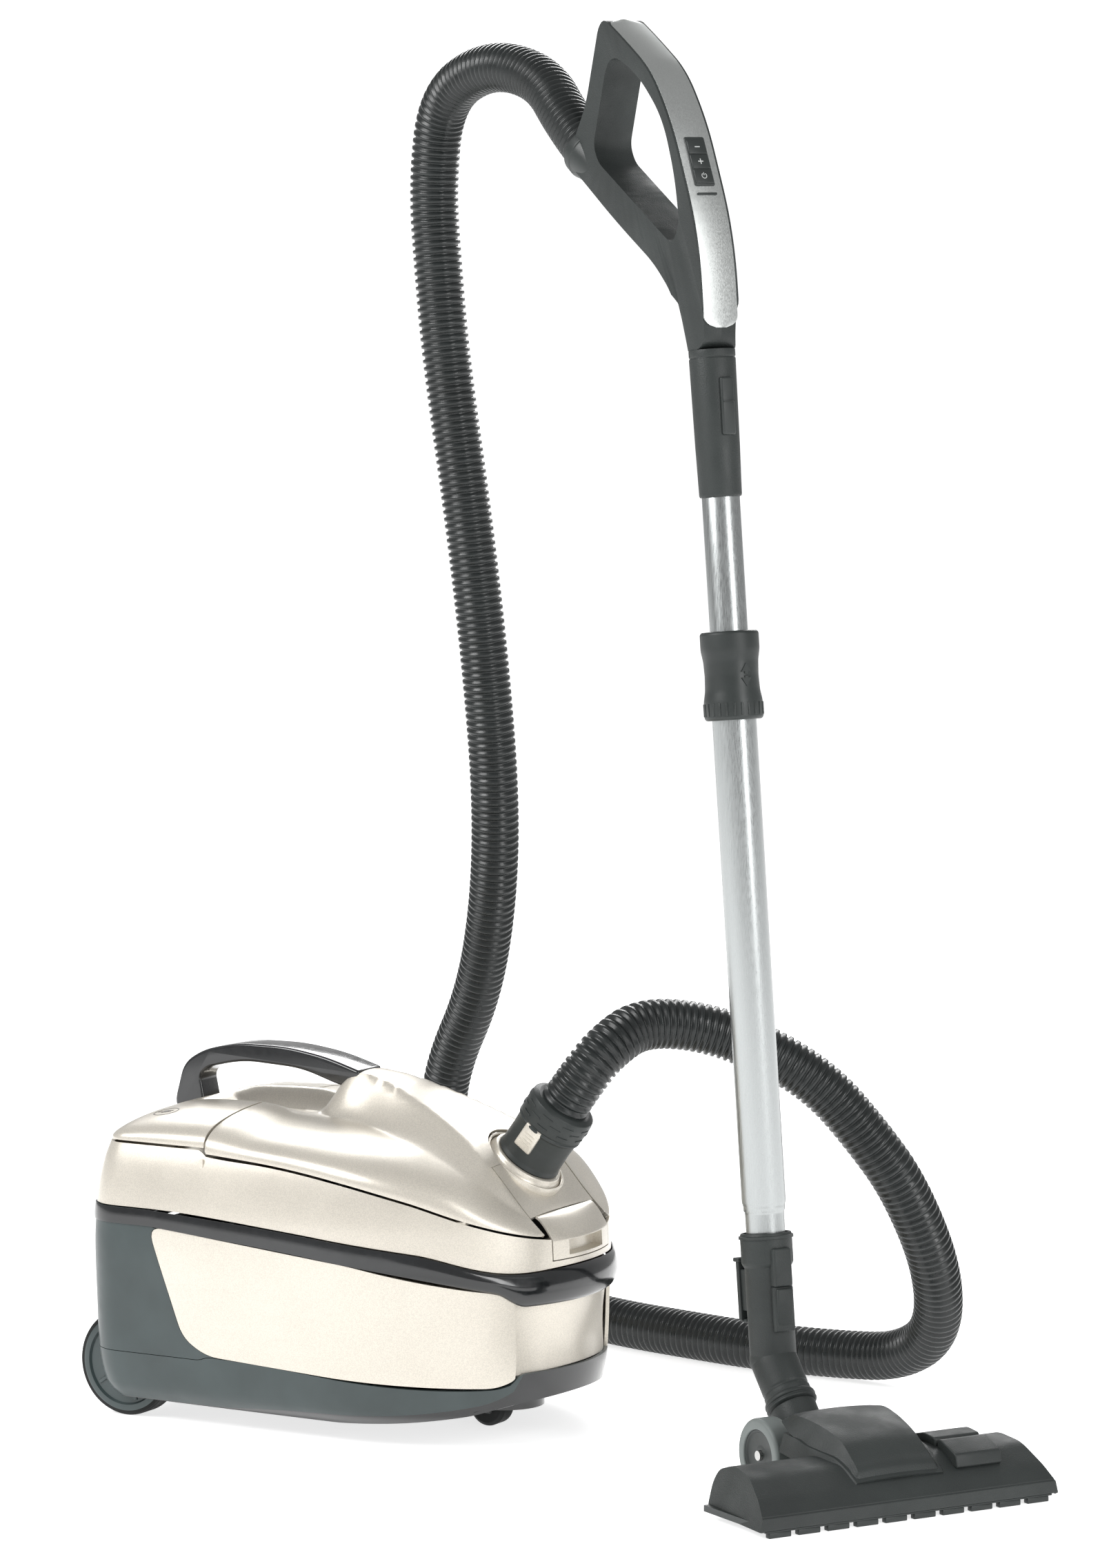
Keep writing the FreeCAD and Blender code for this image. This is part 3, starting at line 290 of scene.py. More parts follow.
def mix_finishes():
    """Make every finish once, under the name that pieces ask for."""
    chosen = colours()
    wand_turn = WAND.to_euler()[:]
    FINISHES.update({
        "champagne": pearl_paint(),
        "slate": satin_plastic("slate_satin", chosen.slate, 0.36, 0.00003, coat=0.15),
        "black": gloss_plastic(),
        "textured_black": leather_grain("grained_black", chosen.grained),
        "moulded": satin_plastic("moulded_black", chosen.grained, 0.42, 0.00004),
        "inside": satin_plastic("inside_grey", (0.075, 0.08, 0.08), 0.5, 0.00005),
        "silver": brushed_metal("satin_silver", (0.56, 0.58, 0.57), wand_turn, 0.36, 500),
        "tube": brushed_metal("drawn_aluminium", chosen.aluminium, wand_turn),
        "steel": brushed_metal("turned_steel", (0.55, 0.55, 0.54), (0, 0, 0), 0.24, 900),
        "copper": brushed_metal("motor_steel", (0.50, 0.47, 0.42), (0, 1.57, 0), 0.34, 200),
        "tyre": soft_rubber(),
        "rubber": satin_plastic("seal_rubber", (0.02, 0.021, 0.021), 0.66, 0.00006),
        "hose": ribbed_hose(),
        "paper": bag_paper(),
        "filter": filter_felt(),
        "board": circuit_resin(),
        "bristle": bristle_hair(),
        "grey": satin_plastic("roller_grey", (0.16, 0.18, 0.175), 0.45, 0.00005),
        "signal": satin_plastic("signal_pink", (0.62, 0.06, 0.13), 0.4, 0.00002),
        "print": satin_plastic("printed_grey", (0.20, 0.19, 0.17), 0.45, 0.00002),
        "white": satin_plastic("printed_white", (0.55, 0.57, 0.56), 0.45, 0.00002),
    })


# ---------------------------------------------------------------- modelling helpers

def finish_piece(name, bm, finishes, body, nodes=(), slot=None, at=None, wall=None,
                 edge=None, sharp=38):
    """Turn a finished bmesh into a piece of the machine that rides on a body."""
    bm.transform(METRES @ at if at else METRES)
    mesh = bpy.data.meshes.new(name)
    bm.to_mesh(mesh)
    bm.free()
    piece = bpy.data.objects.new(name, mesh)
    bpy.context.scene.collection.objects.link(piece)
    finishes = [finishes] if isinstance(finishes, str) else finishes
    for finish in finishes:
        mesh.materials.append(FINISHES[finish])
    mesh.shade_smooth()
    mesh.set_sharp_from_angle(angle=math.radians(sharp))
    if wall:
        solidify = piece.modifiers.new("wall", "SOLIDIFY")
        solidify.thickness = wall
        solidify.offset = -1
        solidify.use_even_offset = True
    if edge:
        bevel = piece.modifiers.new("edges", "BEVEL")
        bevel.width = edge
        bevel.segments = 2
        bevel.limit_method = "ANGLE"
        bevel.angle_limit = math.radians(50)
        bevel.harden_normals = True
    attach(piece, body)
    slot or finishes[0]
    if nodes:
        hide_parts(*nodes)
    return piece


def smooth_line(table, position):
    """Read a table of (position, value) pairs along one smooth line without overshoot."""
    if position <= table[0][0]:
        return table[0][1]
    if position >= table[-1][0]:
        return table[-1][1]
    right = next(index for index, pair in enumerate(table) if position <= pair[0])
    slopes = [(b[1] - a[1]) / (b[0] - a[0]) for a, b in zip(table, table[1:])]

    def tangent(index):
        if index in (0, len(table) - 1):
            return slopes[min(index, len(slopes) - 1)]
        before, after = slopes[index - 1], slopes[index]
        return 0 if before * after <= 0 else 2 * before * after / (before + after)

    (start, low), (end, high) = table[right - 1], table[right]
    run = end - start
    part = (position - start) / run
    return (
        (1 + 2 * part) * (1 - part) ** 2 * low + part * (1 - part) ** 2 * run * tangent(right - 1)
        + part ** 2 * (3 - 2 * part) * high + part ** 2 * (part - 1) * run * tangent(right)
    )


def rounded(corners, radius, steps=5, closed=True):
    """Round the corners of an outline of (a, b) points."""
    points = [Vector(corner) for corner in corners]
    count = len(points)
    line = []
    for index, here in enumerate(points):
        if not closed and index in (0, count - 1):
            line.append(here)
            continue
        before, after = points[index - 1], points[(index + 1) % count]
        to_before, to_after = before - here, after - here
        reach = min(radius, to_before.length * 0.45, to_after.length * 0.45)
        start = here + to_before.normalized() * reach
        end = here + to_after.normalized() * reach
        for step in range(steps + 1):
            part = step / steps
            line.append(start.lerp(here, part).lerp(here.lerp(end, part), part))
    return [tuple(point) for point in line]


def closed_loop(corners, count):
    """Points spaced evenly along a closed outline."""
    points = [Vector(corner) for corner in corners]
    runs = list(zip(points, points[1:] + points[:1]))
    total = sum((b - a).length for a, b in runs)
    spaced = []
    for index in range(count):
        left = total * index / count
        for a, b in runs:
            run = (b - a).length
            if left <= run:
                spaced.append(tuple(a.lerp(b, left / run if run else 0)))
                break
            left -= run
    return spaced


def turned(profile, steps=72, closed=True, turn=math.tau):
    """Spin a profile of (radius, height) points round the Z axis."""
    bm = bmesh.new()
    corners = [bm.verts.new((radius, 0, height)) for radius, height in profile]
    pairs = list(zip(corners, corners[1:])) + ([(corners[-1], corners[0])] if closed else [])
    edges = [bm.edges.new(pair) for pair in pairs]
    whole = abs(turn - math.tau) < 1e-6
    bmesh.ops.spin(
        bm, geom=corners + edges, axis=(0, 0, 1), cent=(0, 0, 0), angle=turn, steps=steps,
        use_merge=whole)
    return cleaned(bm)


def cleaned(bm, distance=0.001):
    bmesh.ops.remove_doubles(bm, verts=bm.verts, dist=distance)
    bmesh.ops.dissolve_degenerate(bm, dist=distance, edges=bm.edges)
    bmesh.ops.recalc_face_normals(bm, faces=bm.faces)
    return bm


def prism(outline, low, high, hole=None):
    """A prism along Y from an outline of (x, z) points, with an opening if one is given."""
    bm = bmesh.new()
    rings = []
    for line in [outline] + ([hole] if hole else []):
        corners = [bm.verts.new((x, low, z)) for x, z in line]
        rings.append([bm.edges.new(pair) for pair in zip(corners, corners[1:] + corners[:1])])
    if hole:
        bmesh.ops.bridge_loops(bm, edges=rings[0] + rings[1])
    else:
        bm.faces.new(bm.verts)
    made = bmesh.ops.extrude_face_region(bm, geom=bm.faces[:])
    moved = [part for part in made["geom"] if isinstance(part, bmesh.types.BMVert)]
    bmesh.ops.translate(bm, verts=moved, vec=(0, high - low, 0))
    bmesh.ops.recalc_face_normals(bm, faces=bm.faces)
    return bm


def soften(bm, width, segments=3, angle=40, chosen=None):
    """Round every edge that is sharper than an angle."""
    bm.normal_update()
    limit = math.radians(angle)
    edges = [edge for edge in bm.edges if edge.is_manifold and edge.calc_face_angle(0) > limit]
    if chosen:
        edges = [edge for edge in edges if chosen(edge)]
    bmesh.ops.bevel(
        bm, geom=edges, offset=width, offset_type="OFFSET", segments=segments, profile=0.5,
        affect="EDGES", clamp_overlap=True, material=-1)
    return bm


def box(x, y, z, edge=0.0, segments=3):
    """A block between pairs of limits, with softened edges."""
    bm = bmesh.new()
    bmesh.ops.create_cube(bm, size=1)
    scale = Vector((x[1] - x[0], y[1] - y[0], z[1] - z[0]))
    centre = Vector((x[1] + x[0], y[1] + y[0], z[1] + z[0])) / 2
    bmesh.ops.scale(bm, vec=scale, verts=bm.verts)
    bmesh.ops.translate(bm, vec=centre, verts=bm.verts)
    if edge:
        bmesh.ops.bevel(
            bm, geom=bm.edges[:], offset=edge, offset_type="OFFSET", segments=segments,
            profile=0.5, affect="EDGES", clamp_overlap=True, material=-1)
    return bm


def joined(*parts, marks=None):
    """Put several meshes in one, each with its own material number if marks are given."""
    whole = bmesh.new()
    for index, part in enumerate(parts):
        if marks:
            for face in part.faces:
                face.material_index = marks[index]
        mesh = bpy.data.meshes.new("part")
        part.to_mesh(mesh)
        part.free()
        whole.from_mesh(mesh)
        bpy.data.meshes.remove(mesh)
    return whole


def moved(bm, matrix):
    bm.transform(matrix)
    if matrix.determinant() < 0:
        bmesh.ops.reverse_faces(bm, faces=bm.faces)
    return bm


def halves_apart(bm, keep):
    """Delete the faces whose middle a test turns down."""
    lost = [face for face in bm.faces if not keep(face.calc_center_median())]
    bmesh.ops.delete(bm, geom=lost, context="FACES")
    return bm


def cut(bm, point, normal, clear=False, near=None):
    """Cut along a plane; clear drops what lies on the normal's side."""
    if near:
        faces = [face for face in bm.faces if near(face.calc_center_median())]
        geom = list({part for face in faces for part in [*face.verts, *face.edges, face]})
    else:
        geom = bm.verts[:] + bm.edges[:] + bm.faces[:]
    if geom:
        bmesh.ops.bisect_plane(
            bm, geom=geom, dist=0.0005, plane_co=point, plane_no=normal, clear_outer=clear)
    return bm


def cut_outline(bm, corners, inside=True):
    """Keep what lies inside, or outside, a convex outline of (x, z) corners seen from the side."""
    middle = sum((Vector((x, 0, z)) for x, z in corners), Vector()) / len(corners)
    reach = max((Vector((x, 0, z)) - middle).length for x, z in corners) + 8
    planes = []
    for (x0, z0), (x1, z1) in zip(corners, corners[1:] + corners[:1]):
        point = Vector((x0, 0, z0))
        normal = Vector((z1 - z0, 0, x0 - x1)).normalized()
        if normal.dot(middle - point) > 0:
            normal.negate()
        if (x1 - x0) ** 2 + (z1 - z0) ** 2 > 0.01:
            planes.append((point, normal))
    for point, normal in planes:
        near = None if inside else lambda spot: (Vector((spot.x, 0, spot.z)) - middle).length < reach
        cut(bm, point, normal, clear=inside, near=near)
    if not inside:
        halves_apart(bm, lambda spot: any((Vector((spot.x, 0, spot.z)) - point).dot(normal) > 0
                                          for point, normal in planes))
    return bm


def cut_round(bm, matrix, radius, sides=40):
    """Open a round hole about a matrix's Z axis."""
    centre = matrix.translation
    turn = matrix.to_3x3()
    axis = turn @ Vector((0, 0, 1))

    def away(spot):
        across = spot - centre
        return (across - axis * across.dot(axis)).length

    for index in range(sides):
        angle = math.tau * index / sides
        normal = turn @ Vector((math.cos(angle), math.sin(angle), 0))
        cut(bm, centre + normal * radius, normal, near=lambda spot: away(spot) < radius * 1.35)
    return halves_apart(bm, lambda spot: away(spot) > radius)


# ---------------------------------------------------------------- canister form

TAIL, NOSE, HALF_WIDTH = -178, 232, 150
CORNER, FLANK_END, NOSE_RADIUS = 35, 60, 140
TUCK = [(18, 20), (30, 9), (60, 3), (110, 1), (150, 0), (180, 1.5), (200, 4), (220, 8.5), (240, 16)]
LID_LINE = [(-61, 232), (4, 228), (72, 220), (133, 207), (182, 189), (215, 176), (232, 170)]
SPINE = [(-178, 236), (-165, 247), (-148, 257), (-107, 264), (-61, 265.5), (-18, 259), (35, 255.5),
         (87, 251), (130, 243), (161, 231), (190, 205), (211, 187), (232, 169)]
RIDGE = [(-24, 250), (-14, 262), (0, 282), (9, 290.5), (20, 293), (34, 291.5), (60, 285), (105, 268),
         (145, 249), (162, 237), (206, 191), (232, 168)]
RIDGE_EDGE = [(-24, 19), (20, 18.5), (60, 26), (105, 38), (145, 50), (160, 55), (232, 56)]
FLANK_EDGE = [(-24, 33), (0, 40), (35, 47), (87, 70), (161, 82), (190, 66), (206, 57), (232, 57)]
BAND_TOP = [(-108, 184), (17, 177), (141, 165), (213, 147), (232, 149)]
BAND_LOW = [(-108, 171), (85, 155), (196, 133), (213, 120), (232, 120)]
PANEL = [(-108, 170), (-75, 78), (-52, 64.5), (195, 52), (207, 58), (207, 126), (196, 132), (85, 154)]


def outline_point(along, inset):
    """A point of the plan outline: 0 at the nose, 1 at the middle of the tail on the left."""
    reach = NOSE - NOSE_RADIUS - FLANK_END
    bend = (reach ** 2 + HALF_WIDTH ** 2 - NOSE_RADIUS ** 2) / (2 * (HALF_WIDTH - NOSE_RADIUS))
    join = math.atan2(bend - HALF_WIDTH, reach)
    runs = [NOSE_RADIUS * join, bend * (math.pi / 2 - join), FLANK_END - TAIL - CORNER,
            CORNER * math.pi / 2, HALF_WIDTH - CORNER]
    left = abs(along) * sum(runs)
    if left <= runs[0]:
        angle = left / NOSE_RADIUS
        centre, radius = (NOSE - NOSE_RADIUS, 0), NOSE_RADIUS
    elif left <= runs[0] + runs[1]:
        angle = join + (left - runs[0]) / bend
        centre, radius = (FLANK_END, HALF_WIDTH - bend), bend
    elif left <= sum(runs[:3]):
        angle, radius = math.pi / 2, 0
        centre = (FLANK_END - (left - runs[0] - runs[1]), HALF_WIDTH)
    elif left <= sum(runs[:4]):
        angle = math.pi / 2 + (left - sum(runs[:3])) / CORNER
        centre, radius = (TAIL + CORNER, HALF_WIDTH - CORNER), CORNER
    else:
        angle, radius = math.pi, 0
        centre = (TAIL, HALF_WIDTH - CORNER - (left - sum(runs[:4])))
    side = -1 if along < 0 else 1
    x = centre[0] + math.cos(angle) * (radius - inset)
    y = centre[1] + math.sin(angle) * (radius - inset)
    return x, side * y


def crown(x, y, rise, low):
    """Height of the top surface, from the wall's edge up to the spine, with the hand hollow."""
    height = low + (smooth_line(SPINE, x) - low) * (1 - (1 - rise) ** 2.5) ** 0.4
    across = abs(y)
    step_in = smooth_line([(-140, 0), (-122, 1), (-30, 1), (-16, 0)], x)
    hollow = smooth_line([(24, 1), (42, 0)], across) * step_in
    height -= (height - 248) * hollow if height > 248 else 0
    edge, foot = smooth_line(RIDGE_EDGE, x), smooth_line(FLANK_EDGE, x)
    if x > -24 and across < foot:
        ridge = smooth_line(RIDGE, x) - 1.5 * min(across / edge, 1) ** 2
        part = max(0, (across - edge) / (foot - edge))
        height = max(height, height + (ridge - height) * (1 - part) ** 1.55)
    return height


def sheet_grid(columns, rows, place_point):
    """A grid whose points are placed by a function of two parts from 0 to 1."""
    bm = bmesh.new()
    bmesh.ops.create_grid(bm, x_segments=columns, y_segments=rows, size=0.5)
    for vert in bm.verts:
        vert.co = place_point(vert.co.x + 0.5, vert.co.y + 0.5)
    return cleaned(bm, 0.01)


def outwards(bm, inner):
    """Turn the faces of an open sheet away from a point inside it."""
    bm.normal_update()
    votes = sum(1 if face.normal.dot(face.calc_center_median() - Vector(inner)) > 0 else -1
                for face in bm.faces)
    if votes < 0:
        bmesh.ops.reverse_faces(bm, faces=bm.faces)
    return bm


def wall_sheet(low, high, proud=0.0, columns=300, rows=20):
    """The canister's side wall between two lines of (x, height), right round from nose to tail."""
    def place_point(round_part, up_part):
        along = 1 - 2 * round_part
        x_wall, _ = outline_point(along, 0)
        bottom, top = smooth_line(low, x_wall), smooth_line(high, x_wall)
        height = bottom + (top - bottom) * up_part
        extra = proud(x_wall, up_part) if callable(proud) else proud
        x, y = outline_point(along, smooth_line(TUCK, height) - extra)
        return Vector((x, y, height))
    return outwards(sheet_grid(columns, rows, place_point), (20, 0, 120))


def top_sheet(drop=0.0, columns=340, rows=52):
    """The canister's crowned top, from the wall's upper edge in to the middle line."""
    def place_point(round_part, in_part):
        along = 1 - 2 * round_part
        x_wall, _ = outline_point(along, 0)
        low = smooth_line(LID_LINE, x_wall) + (1.5 if x_wall > -61 else 6)
        x_edge, y_edge = outline_point(along, smooth_line(TUCK, low))
        rise = 1 - math.cos(in_part * math.pi / 2)
        x_middle = min(max(x_edge, TAIL + 46), NOSE - 22)
        x, y = x_edge + (x_middle - x_edge) * rise, y_edge * (1 - rise)
        return Vector((x, y, crown(x, y, rise, low) - drop))
    sheet = sheet_grid(columns, rows, place_point)
    return outwards(sheet, (20, 0, 150))


def shifted(table, by):
    return [(x, z + by) for x, z in table]


def surface_height(x, y):
    """Height of the canister's top over a point behind its nose curve."""
    low = smooth_line(LID_LINE, x) + (1.5 if x > -61 else 6)
    _, edge = outline_point(0.5, smooth_line(TUCK, low))
    return crown(x, y, max(0, 1 - abs(y) / edge), low)


def plate(height, inset, keep):
    """A flat floor inside the canister, trimmed by a test."""
    bm = bmesh.new()
    count = 160
    ring = [bm.verts.new((*outline_point(1 - 2 * index / count, inset), height))
            for index in range(count)]
    bm.faces.new(ring)
    for x in keep["x"]:
        cut(bm, (x, 0, 0), (1, 0, 0))
    for y in keep["y"]:
        cut(bm, (0, y, 0), (0, 1, 0))
    return halves_apart(bm, keep["test"])


BASE_TOP = [(-178, 60), (-62, 60), (-50, 63), (195, 50.5), (205, 53), (212, 62), (232, 63)]
BLACK_EDGE = [(-178, 18.4), (-63, 18.4), (23, 24), (114, 28), (186, 37), (207, 47), (213, 61.9),
              (232, 62.9)]
BASE_LOW = [(-178, 18), (60, 17.5), (115, 20), (179, 28), (208, 36), (232, 41)]
HALF_COVER = 77


def base_tray():
    """Lower tray: slate side strip over a gloss black edge, floor and wheel wells."""
    strip = wall_sheet(BLACK_EDGE, BASE_TOP, rows=6)
    edge = wall_sheet(BASE_LOW, BLACK_EDGE, rows=5)
    floor = bmesh.new()
    count = 160
    ring = []
    for index in range(count):
        along = 1 - 2 * index / count
        x_wall, _ = outline_point(along, 0)
        low = smooth_line(BASE_LOW, x_wall)
        ring.append(floor.verts.new((*outline_point(along, smooth_line(TUCK, low)), low)))
    floor.faces.new(ring)
    bmesh.ops.triangulate(floor, faces=floor.faces)
    cut_round(floor, Matrix.Translation((150, 0, 20)), 33)
    outwards(floor, (20, 0, 120))
    wells = []
    for _, side in SIDES:
        well = turned([(4, 0), (51, 0), (51, 26)], closed=False)
        moved(well, Matrix.Translation((-150, side * 98.5, 45)) @ Matrix.Rotation(
            -side * math.pi / 2, 4, "X"))
        cut(well, (0, 0, 19), (0, 0, -1), clear=True)
        cut(well, (-173.5, 0, 0), (-1, 0, 0), clear=True)
        wells.append(well)
        for part in (strip, edge, floor):
            for y in (98.5, 128.5):
                cut(part, (0, side * y, 0), (0, 1, 0), near=lambda spot: spot.x < -95)
            cut(part, (-100, 0, 0), (1, 0, 0), near=lambda spot: spot.x < -80)
            halves_apart(part, lambda spot, s=side: not (
                98.5 < s * spot.y < 128.5 and spot.x < -100))
    castor_cup = turned([(4, 46), (34, 46), (34, 20)], closed=False)
    moved(castor_cup, Matrix.Translation((150, 0, 0)))
    tray = joined(strip, edge, floor, castor_cup, *wells, marks=[0, 1, 1, 1, 1, 1])
    bmesh.ops.remove_doubles(tray, verts=tray.verts, dist=0.05)
    finish_piece("base_tray", tray, ["slate", "black"], "housing", ["base_tray"], at=CANISTER,
                 wall=sizes().wall, edge=sizes().soft_edge)


def rear_shell():
    """Slate shell round the tail, open for the wheels, the exhaust grille and the cord outlet."""
    seam = sizes().seam * 500
    top = [(-178, 184 - seam), (-112, 184 - seam), (-107, 170 - seam), (85, 155)]
    shell = wall_sheet(shifted(BASE_TOP, seam), top, rows=30)
    cut(shell, (-30, 0, 0), (1, 0, 0), clear=True)
    grown = rounded(PANEL, 14)
    middle = Vector((50, 110))
    grown = [tuple(middle + (Vector(point) - middle) * 1 + (Vector(point) - middle).normalized()
                   * seam * 1.6) for point in grown]
    cut_outline(shell, grown, inside=False)
    for _, side in SIDES:
        for y in (98.5, 128.5):
            cut(shell, (0, side * y, 0), (0, 1, 0), near=lambda spot: spot.x < -140)
    cut(shell, (0, 0, 84), (0, 0, 1), near=lambda spot: spot.x < -140)
    halves_apart(shell, lambda spot: not (
        98.5 < abs(spot.y) < 128.5 and spot.z < 84 and spot.x < -140))
    for y in (-70.6, 70.6):
        cut(shell, (0, y, 0), (0, 1, 0), near=lambda spot: spot.x < -160)
    for z in (79.4, 160.6):
        cut(shell, (0, 0, z), (0, 0, 1), near=lambda spot: spot.x < -160)
    halves_apart(shell, lambda spot: not (
        abs(spot.y) < 70.6 and 79.4 < spot.z < 160.6 and spot.x < -160))
    cut_round(shell, Matrix.Translation((TAIL, -100, 120)) @ Matrix.Rotation(
        math.pi / 2, 4, "Y"), 9.2, sides=24)
    finish_piece("rear_shell", shell, "slate", "housing", ["rear_shell"], at=CANISTER,
                 wall=sizes().wall, edge=sizes().soft_edge)


def upper_housing():
    """Champagne shell between the band and the lid, with the bag rim and the pedal deck."""
    seam = sizes().seam * 500
    low = shifted([(-178, 184), (-112, 184)] + BAND_TOP[1:], seam)
    high = [(-178, 236), (-64, 236), (-60, 232 - seam)] + shifted(LID_LINE[1:], -seam)
    shell = wall_sheet(low, high, rows=16)
    for y in (-46.5, 46.5):
        cut(shell, (0, y, 0), (0, 1, 0), near=lambda spot: spot.x > 150)
    cut(shell, (0, 0, 154), (0, 0, 1), near=lambda spot: spot.x > 150 and abs(spot.y) < 60)
    halves_apart(shell, lambda spot: not (spot.x > 150 and abs(spot.y) < 46.5 and spot.z > 154))
    for y in (-21, 21):
        cut(shell, (0, y, 0), (0, 1, 0), near=lambda spot: spot.x < -140)
    cut(shell, (0, 0, 218), (0, 0, 1), near=lambda spot: spot.x < -140)
    halves_apart(shell, lambda spot: not (spot.x < -140 and abs(spot.y) < 21 and spot.z > 218))
    deck = plate(208, 7.5, {"x": (-59,), "y": (), "test": lambda spot: spot.x < -59})
    rim = plate(189, 4.2, {
        "x": (-59, -25, 150, 176), "y": (-100, 100),
        "test": lambda spot: -59 < spot.x < 176 and not (-25 < spot.x < 150 and abs(spot.y) < 100)})
    back_wall = bmesh.new()
    bmesh.ops.create_grid(back_wall, x_segments=1, y_segments=1, size=0.5)
    moved(back_wall, Matrix.Translation((-59, 0, 209)) @ Matrix.Diagonal((1, 282, 40, 1))
          @ Matrix.Rotation(math.pi / 2, 4, "Y"))
    shell = joined(shell, deck, rim, back_wall)
    finish_piece("upper_housing", shell, "champagne", "housing", ["upper_housing"], at=CANISTER,
                 wall=sizes().wall, edge=sizes().soft_edge)


def side_panels():
    """The large champagne panels, their corners rounded."""
    for name, side in SIDES:
        panel = wall_sheet([(-178, 45), (232, 45)], shifted(BAND_LOW, -0.4), rows=26, proud=0.5)
        cut_outline(panel, rounded(PANEL, 14))
        cut(panel, (0, side * HALF_COVER, 0), (0, -side, 0), clear=True)
        finish_piece(f"side_panel_{name}", panel, "champagne", "housing", [f"side_panel_{name}"],
                     at=CANISTER, wall=sizes().wall, edge=0.0016)


def front_cover():
    """Champagne cover at the nose, dished between the side panels."""
    def dish(x_wall, up_part):
        across = smooth_line([(207, 0), (232, 1)], x_wall)
        return -3.2 - 4.5 * math.sin(math.pi * up_part) * (0.35 + 0.65 * across)
    cover = wall_sheet([(-178, 60), (205, 60), (232, 63.5)], shifted(BAND_LOW, 1), rows=22, proud=dish)
    cut(cover, (180, 0, 0), (-1, 0, 0), clear=True)
    for side in (1, -1):
        cut(cover, (0, side * (HALF_COVER + 4), 0), (0, side, 0), clear=True)
    finish_piece("front_cover", cover, "champagne", "housing", ["front_cover"], at=CANISTER,
                 wall=sizes().wall, edge=sizes().soft_edge)


def bumper_band():
    """Gloss black band that swells into a bumper at the nose."""
    def swell(x_wall, up_part):
        nose_part = smooth_line([(120, 0), (232, 1)], x_wall)
        crest = math.sin(math.pi * min(1, max(0, up_part))) ** 0.6
        return 1.2 + crest * (0.6 + 6.0 * nose_part)
    band = wall_sheet(shifted(BAND_LOW, -1), shifted(BAND_TOP, -0.3), rows=14, proud=swell)
    cut(band, (-108, 0, 0), (-1, 0, -0.4), clear=True)
    finish_piece("bumper_band", band, "black", "housing", ["bumper_band"], at=CANISTER,
                 wall=sizes().wall, edge=sizes().soft_edge)


LOCAL_INLET = CANISTER.inverted() @ INLET


def bag_lid():
    """The lid: crowned shoulders, the hump that carries the handle and the hinge strip."""
    lid = top_sheet()
    cut(lid, (-60, 0, 0), (1, 0, 0))
    for y in (-45.4, 45.4):
        cut(lid, (0, y, 0), (0, 1, 0), near=lambda spot: spot.x < -50)
    halves_apart(lid, lambda spot: spot.x > -60 or abs(spot.y) < 45.4)
    for y in (-53.2, 53.2):
        cut(lid, (0, y, 0), (0, 1, 0), near=lambda spot: spot.x > 130)
    cut(lid, (169, 0, 0), (1, 0, 0), near=lambda spot: abs(spot.y) < 60)
    halves_apart(lid, lambda spot: not (spot.x > 169 and abs(spot.y) < 53.2))
    cut_round(lid, LOCAL_INLET, 38)
    lugs = [moved(turned([(3.1, 0), (6, 0), (6, 9), (3.1, 9)], steps=28), Matrix.Translation(
        (-150, 21 if side > 0 else -30, 238)) @ Matrix.Rotation(-math.pi / 2, 4, "X"))
        for _, side in SIDES]
    webs = [box((-155, -145), (21, 30) if side > 0 else (-30, -21), (240, 251), 0.6)
            for _, side in SIDES]
    piece = finish_piece("bag_lid", lid, "champagne", "lid", ["bag_lid"], at=CANISTER,
                         wall=sizes().wall, edge=sizes().soft_edge)
    hinge = finish_piece("lid_hinge_lugs", joined(*lugs, *webs), "champagne", "lid", at=CANISTER)
    return piece, hinge


def inlet_surround():
    """Sloping plate round the suction inlet."""
    sheet = top_sheet(drop=0.3)
    for y in (-51.8, 51.8):
        cut(sheet, (0, y, 0), (0, 1, 0))
    cut(sheet, (169, 0, 0), (1, 0, 0))
    cut(sheet, (206, 0, 0), (1, 0, 0), clear=True)
    cut(sheet, (120, 0, 0), (-1, 0, 0), clear=True)
    halves_apart(sheet, lambda spot: abs(spot.y) < 51.8)
    cut_round(sheet, LOCAL_INLET, 36.8)
    halves_apart(sheet, lambda spot: spot.x > 169)
    rim = turned([(34.3, -4), (36.8, -4), (36.8, 3.4), (36.2, 4.2), (35, 4.2), (34.3, 3.4)])
    moved(rim, LOCAL_INLET)
    finish_piece("inlet_surround", sheet, "champagne", "housing", ["inlet_surround"], at=CANISTER,
                 wall=sizes().wall, edge=sizes().soft_edge)
    finish_piece("inlet_rim", rim, "champagne", "housing", at=CANISTER)


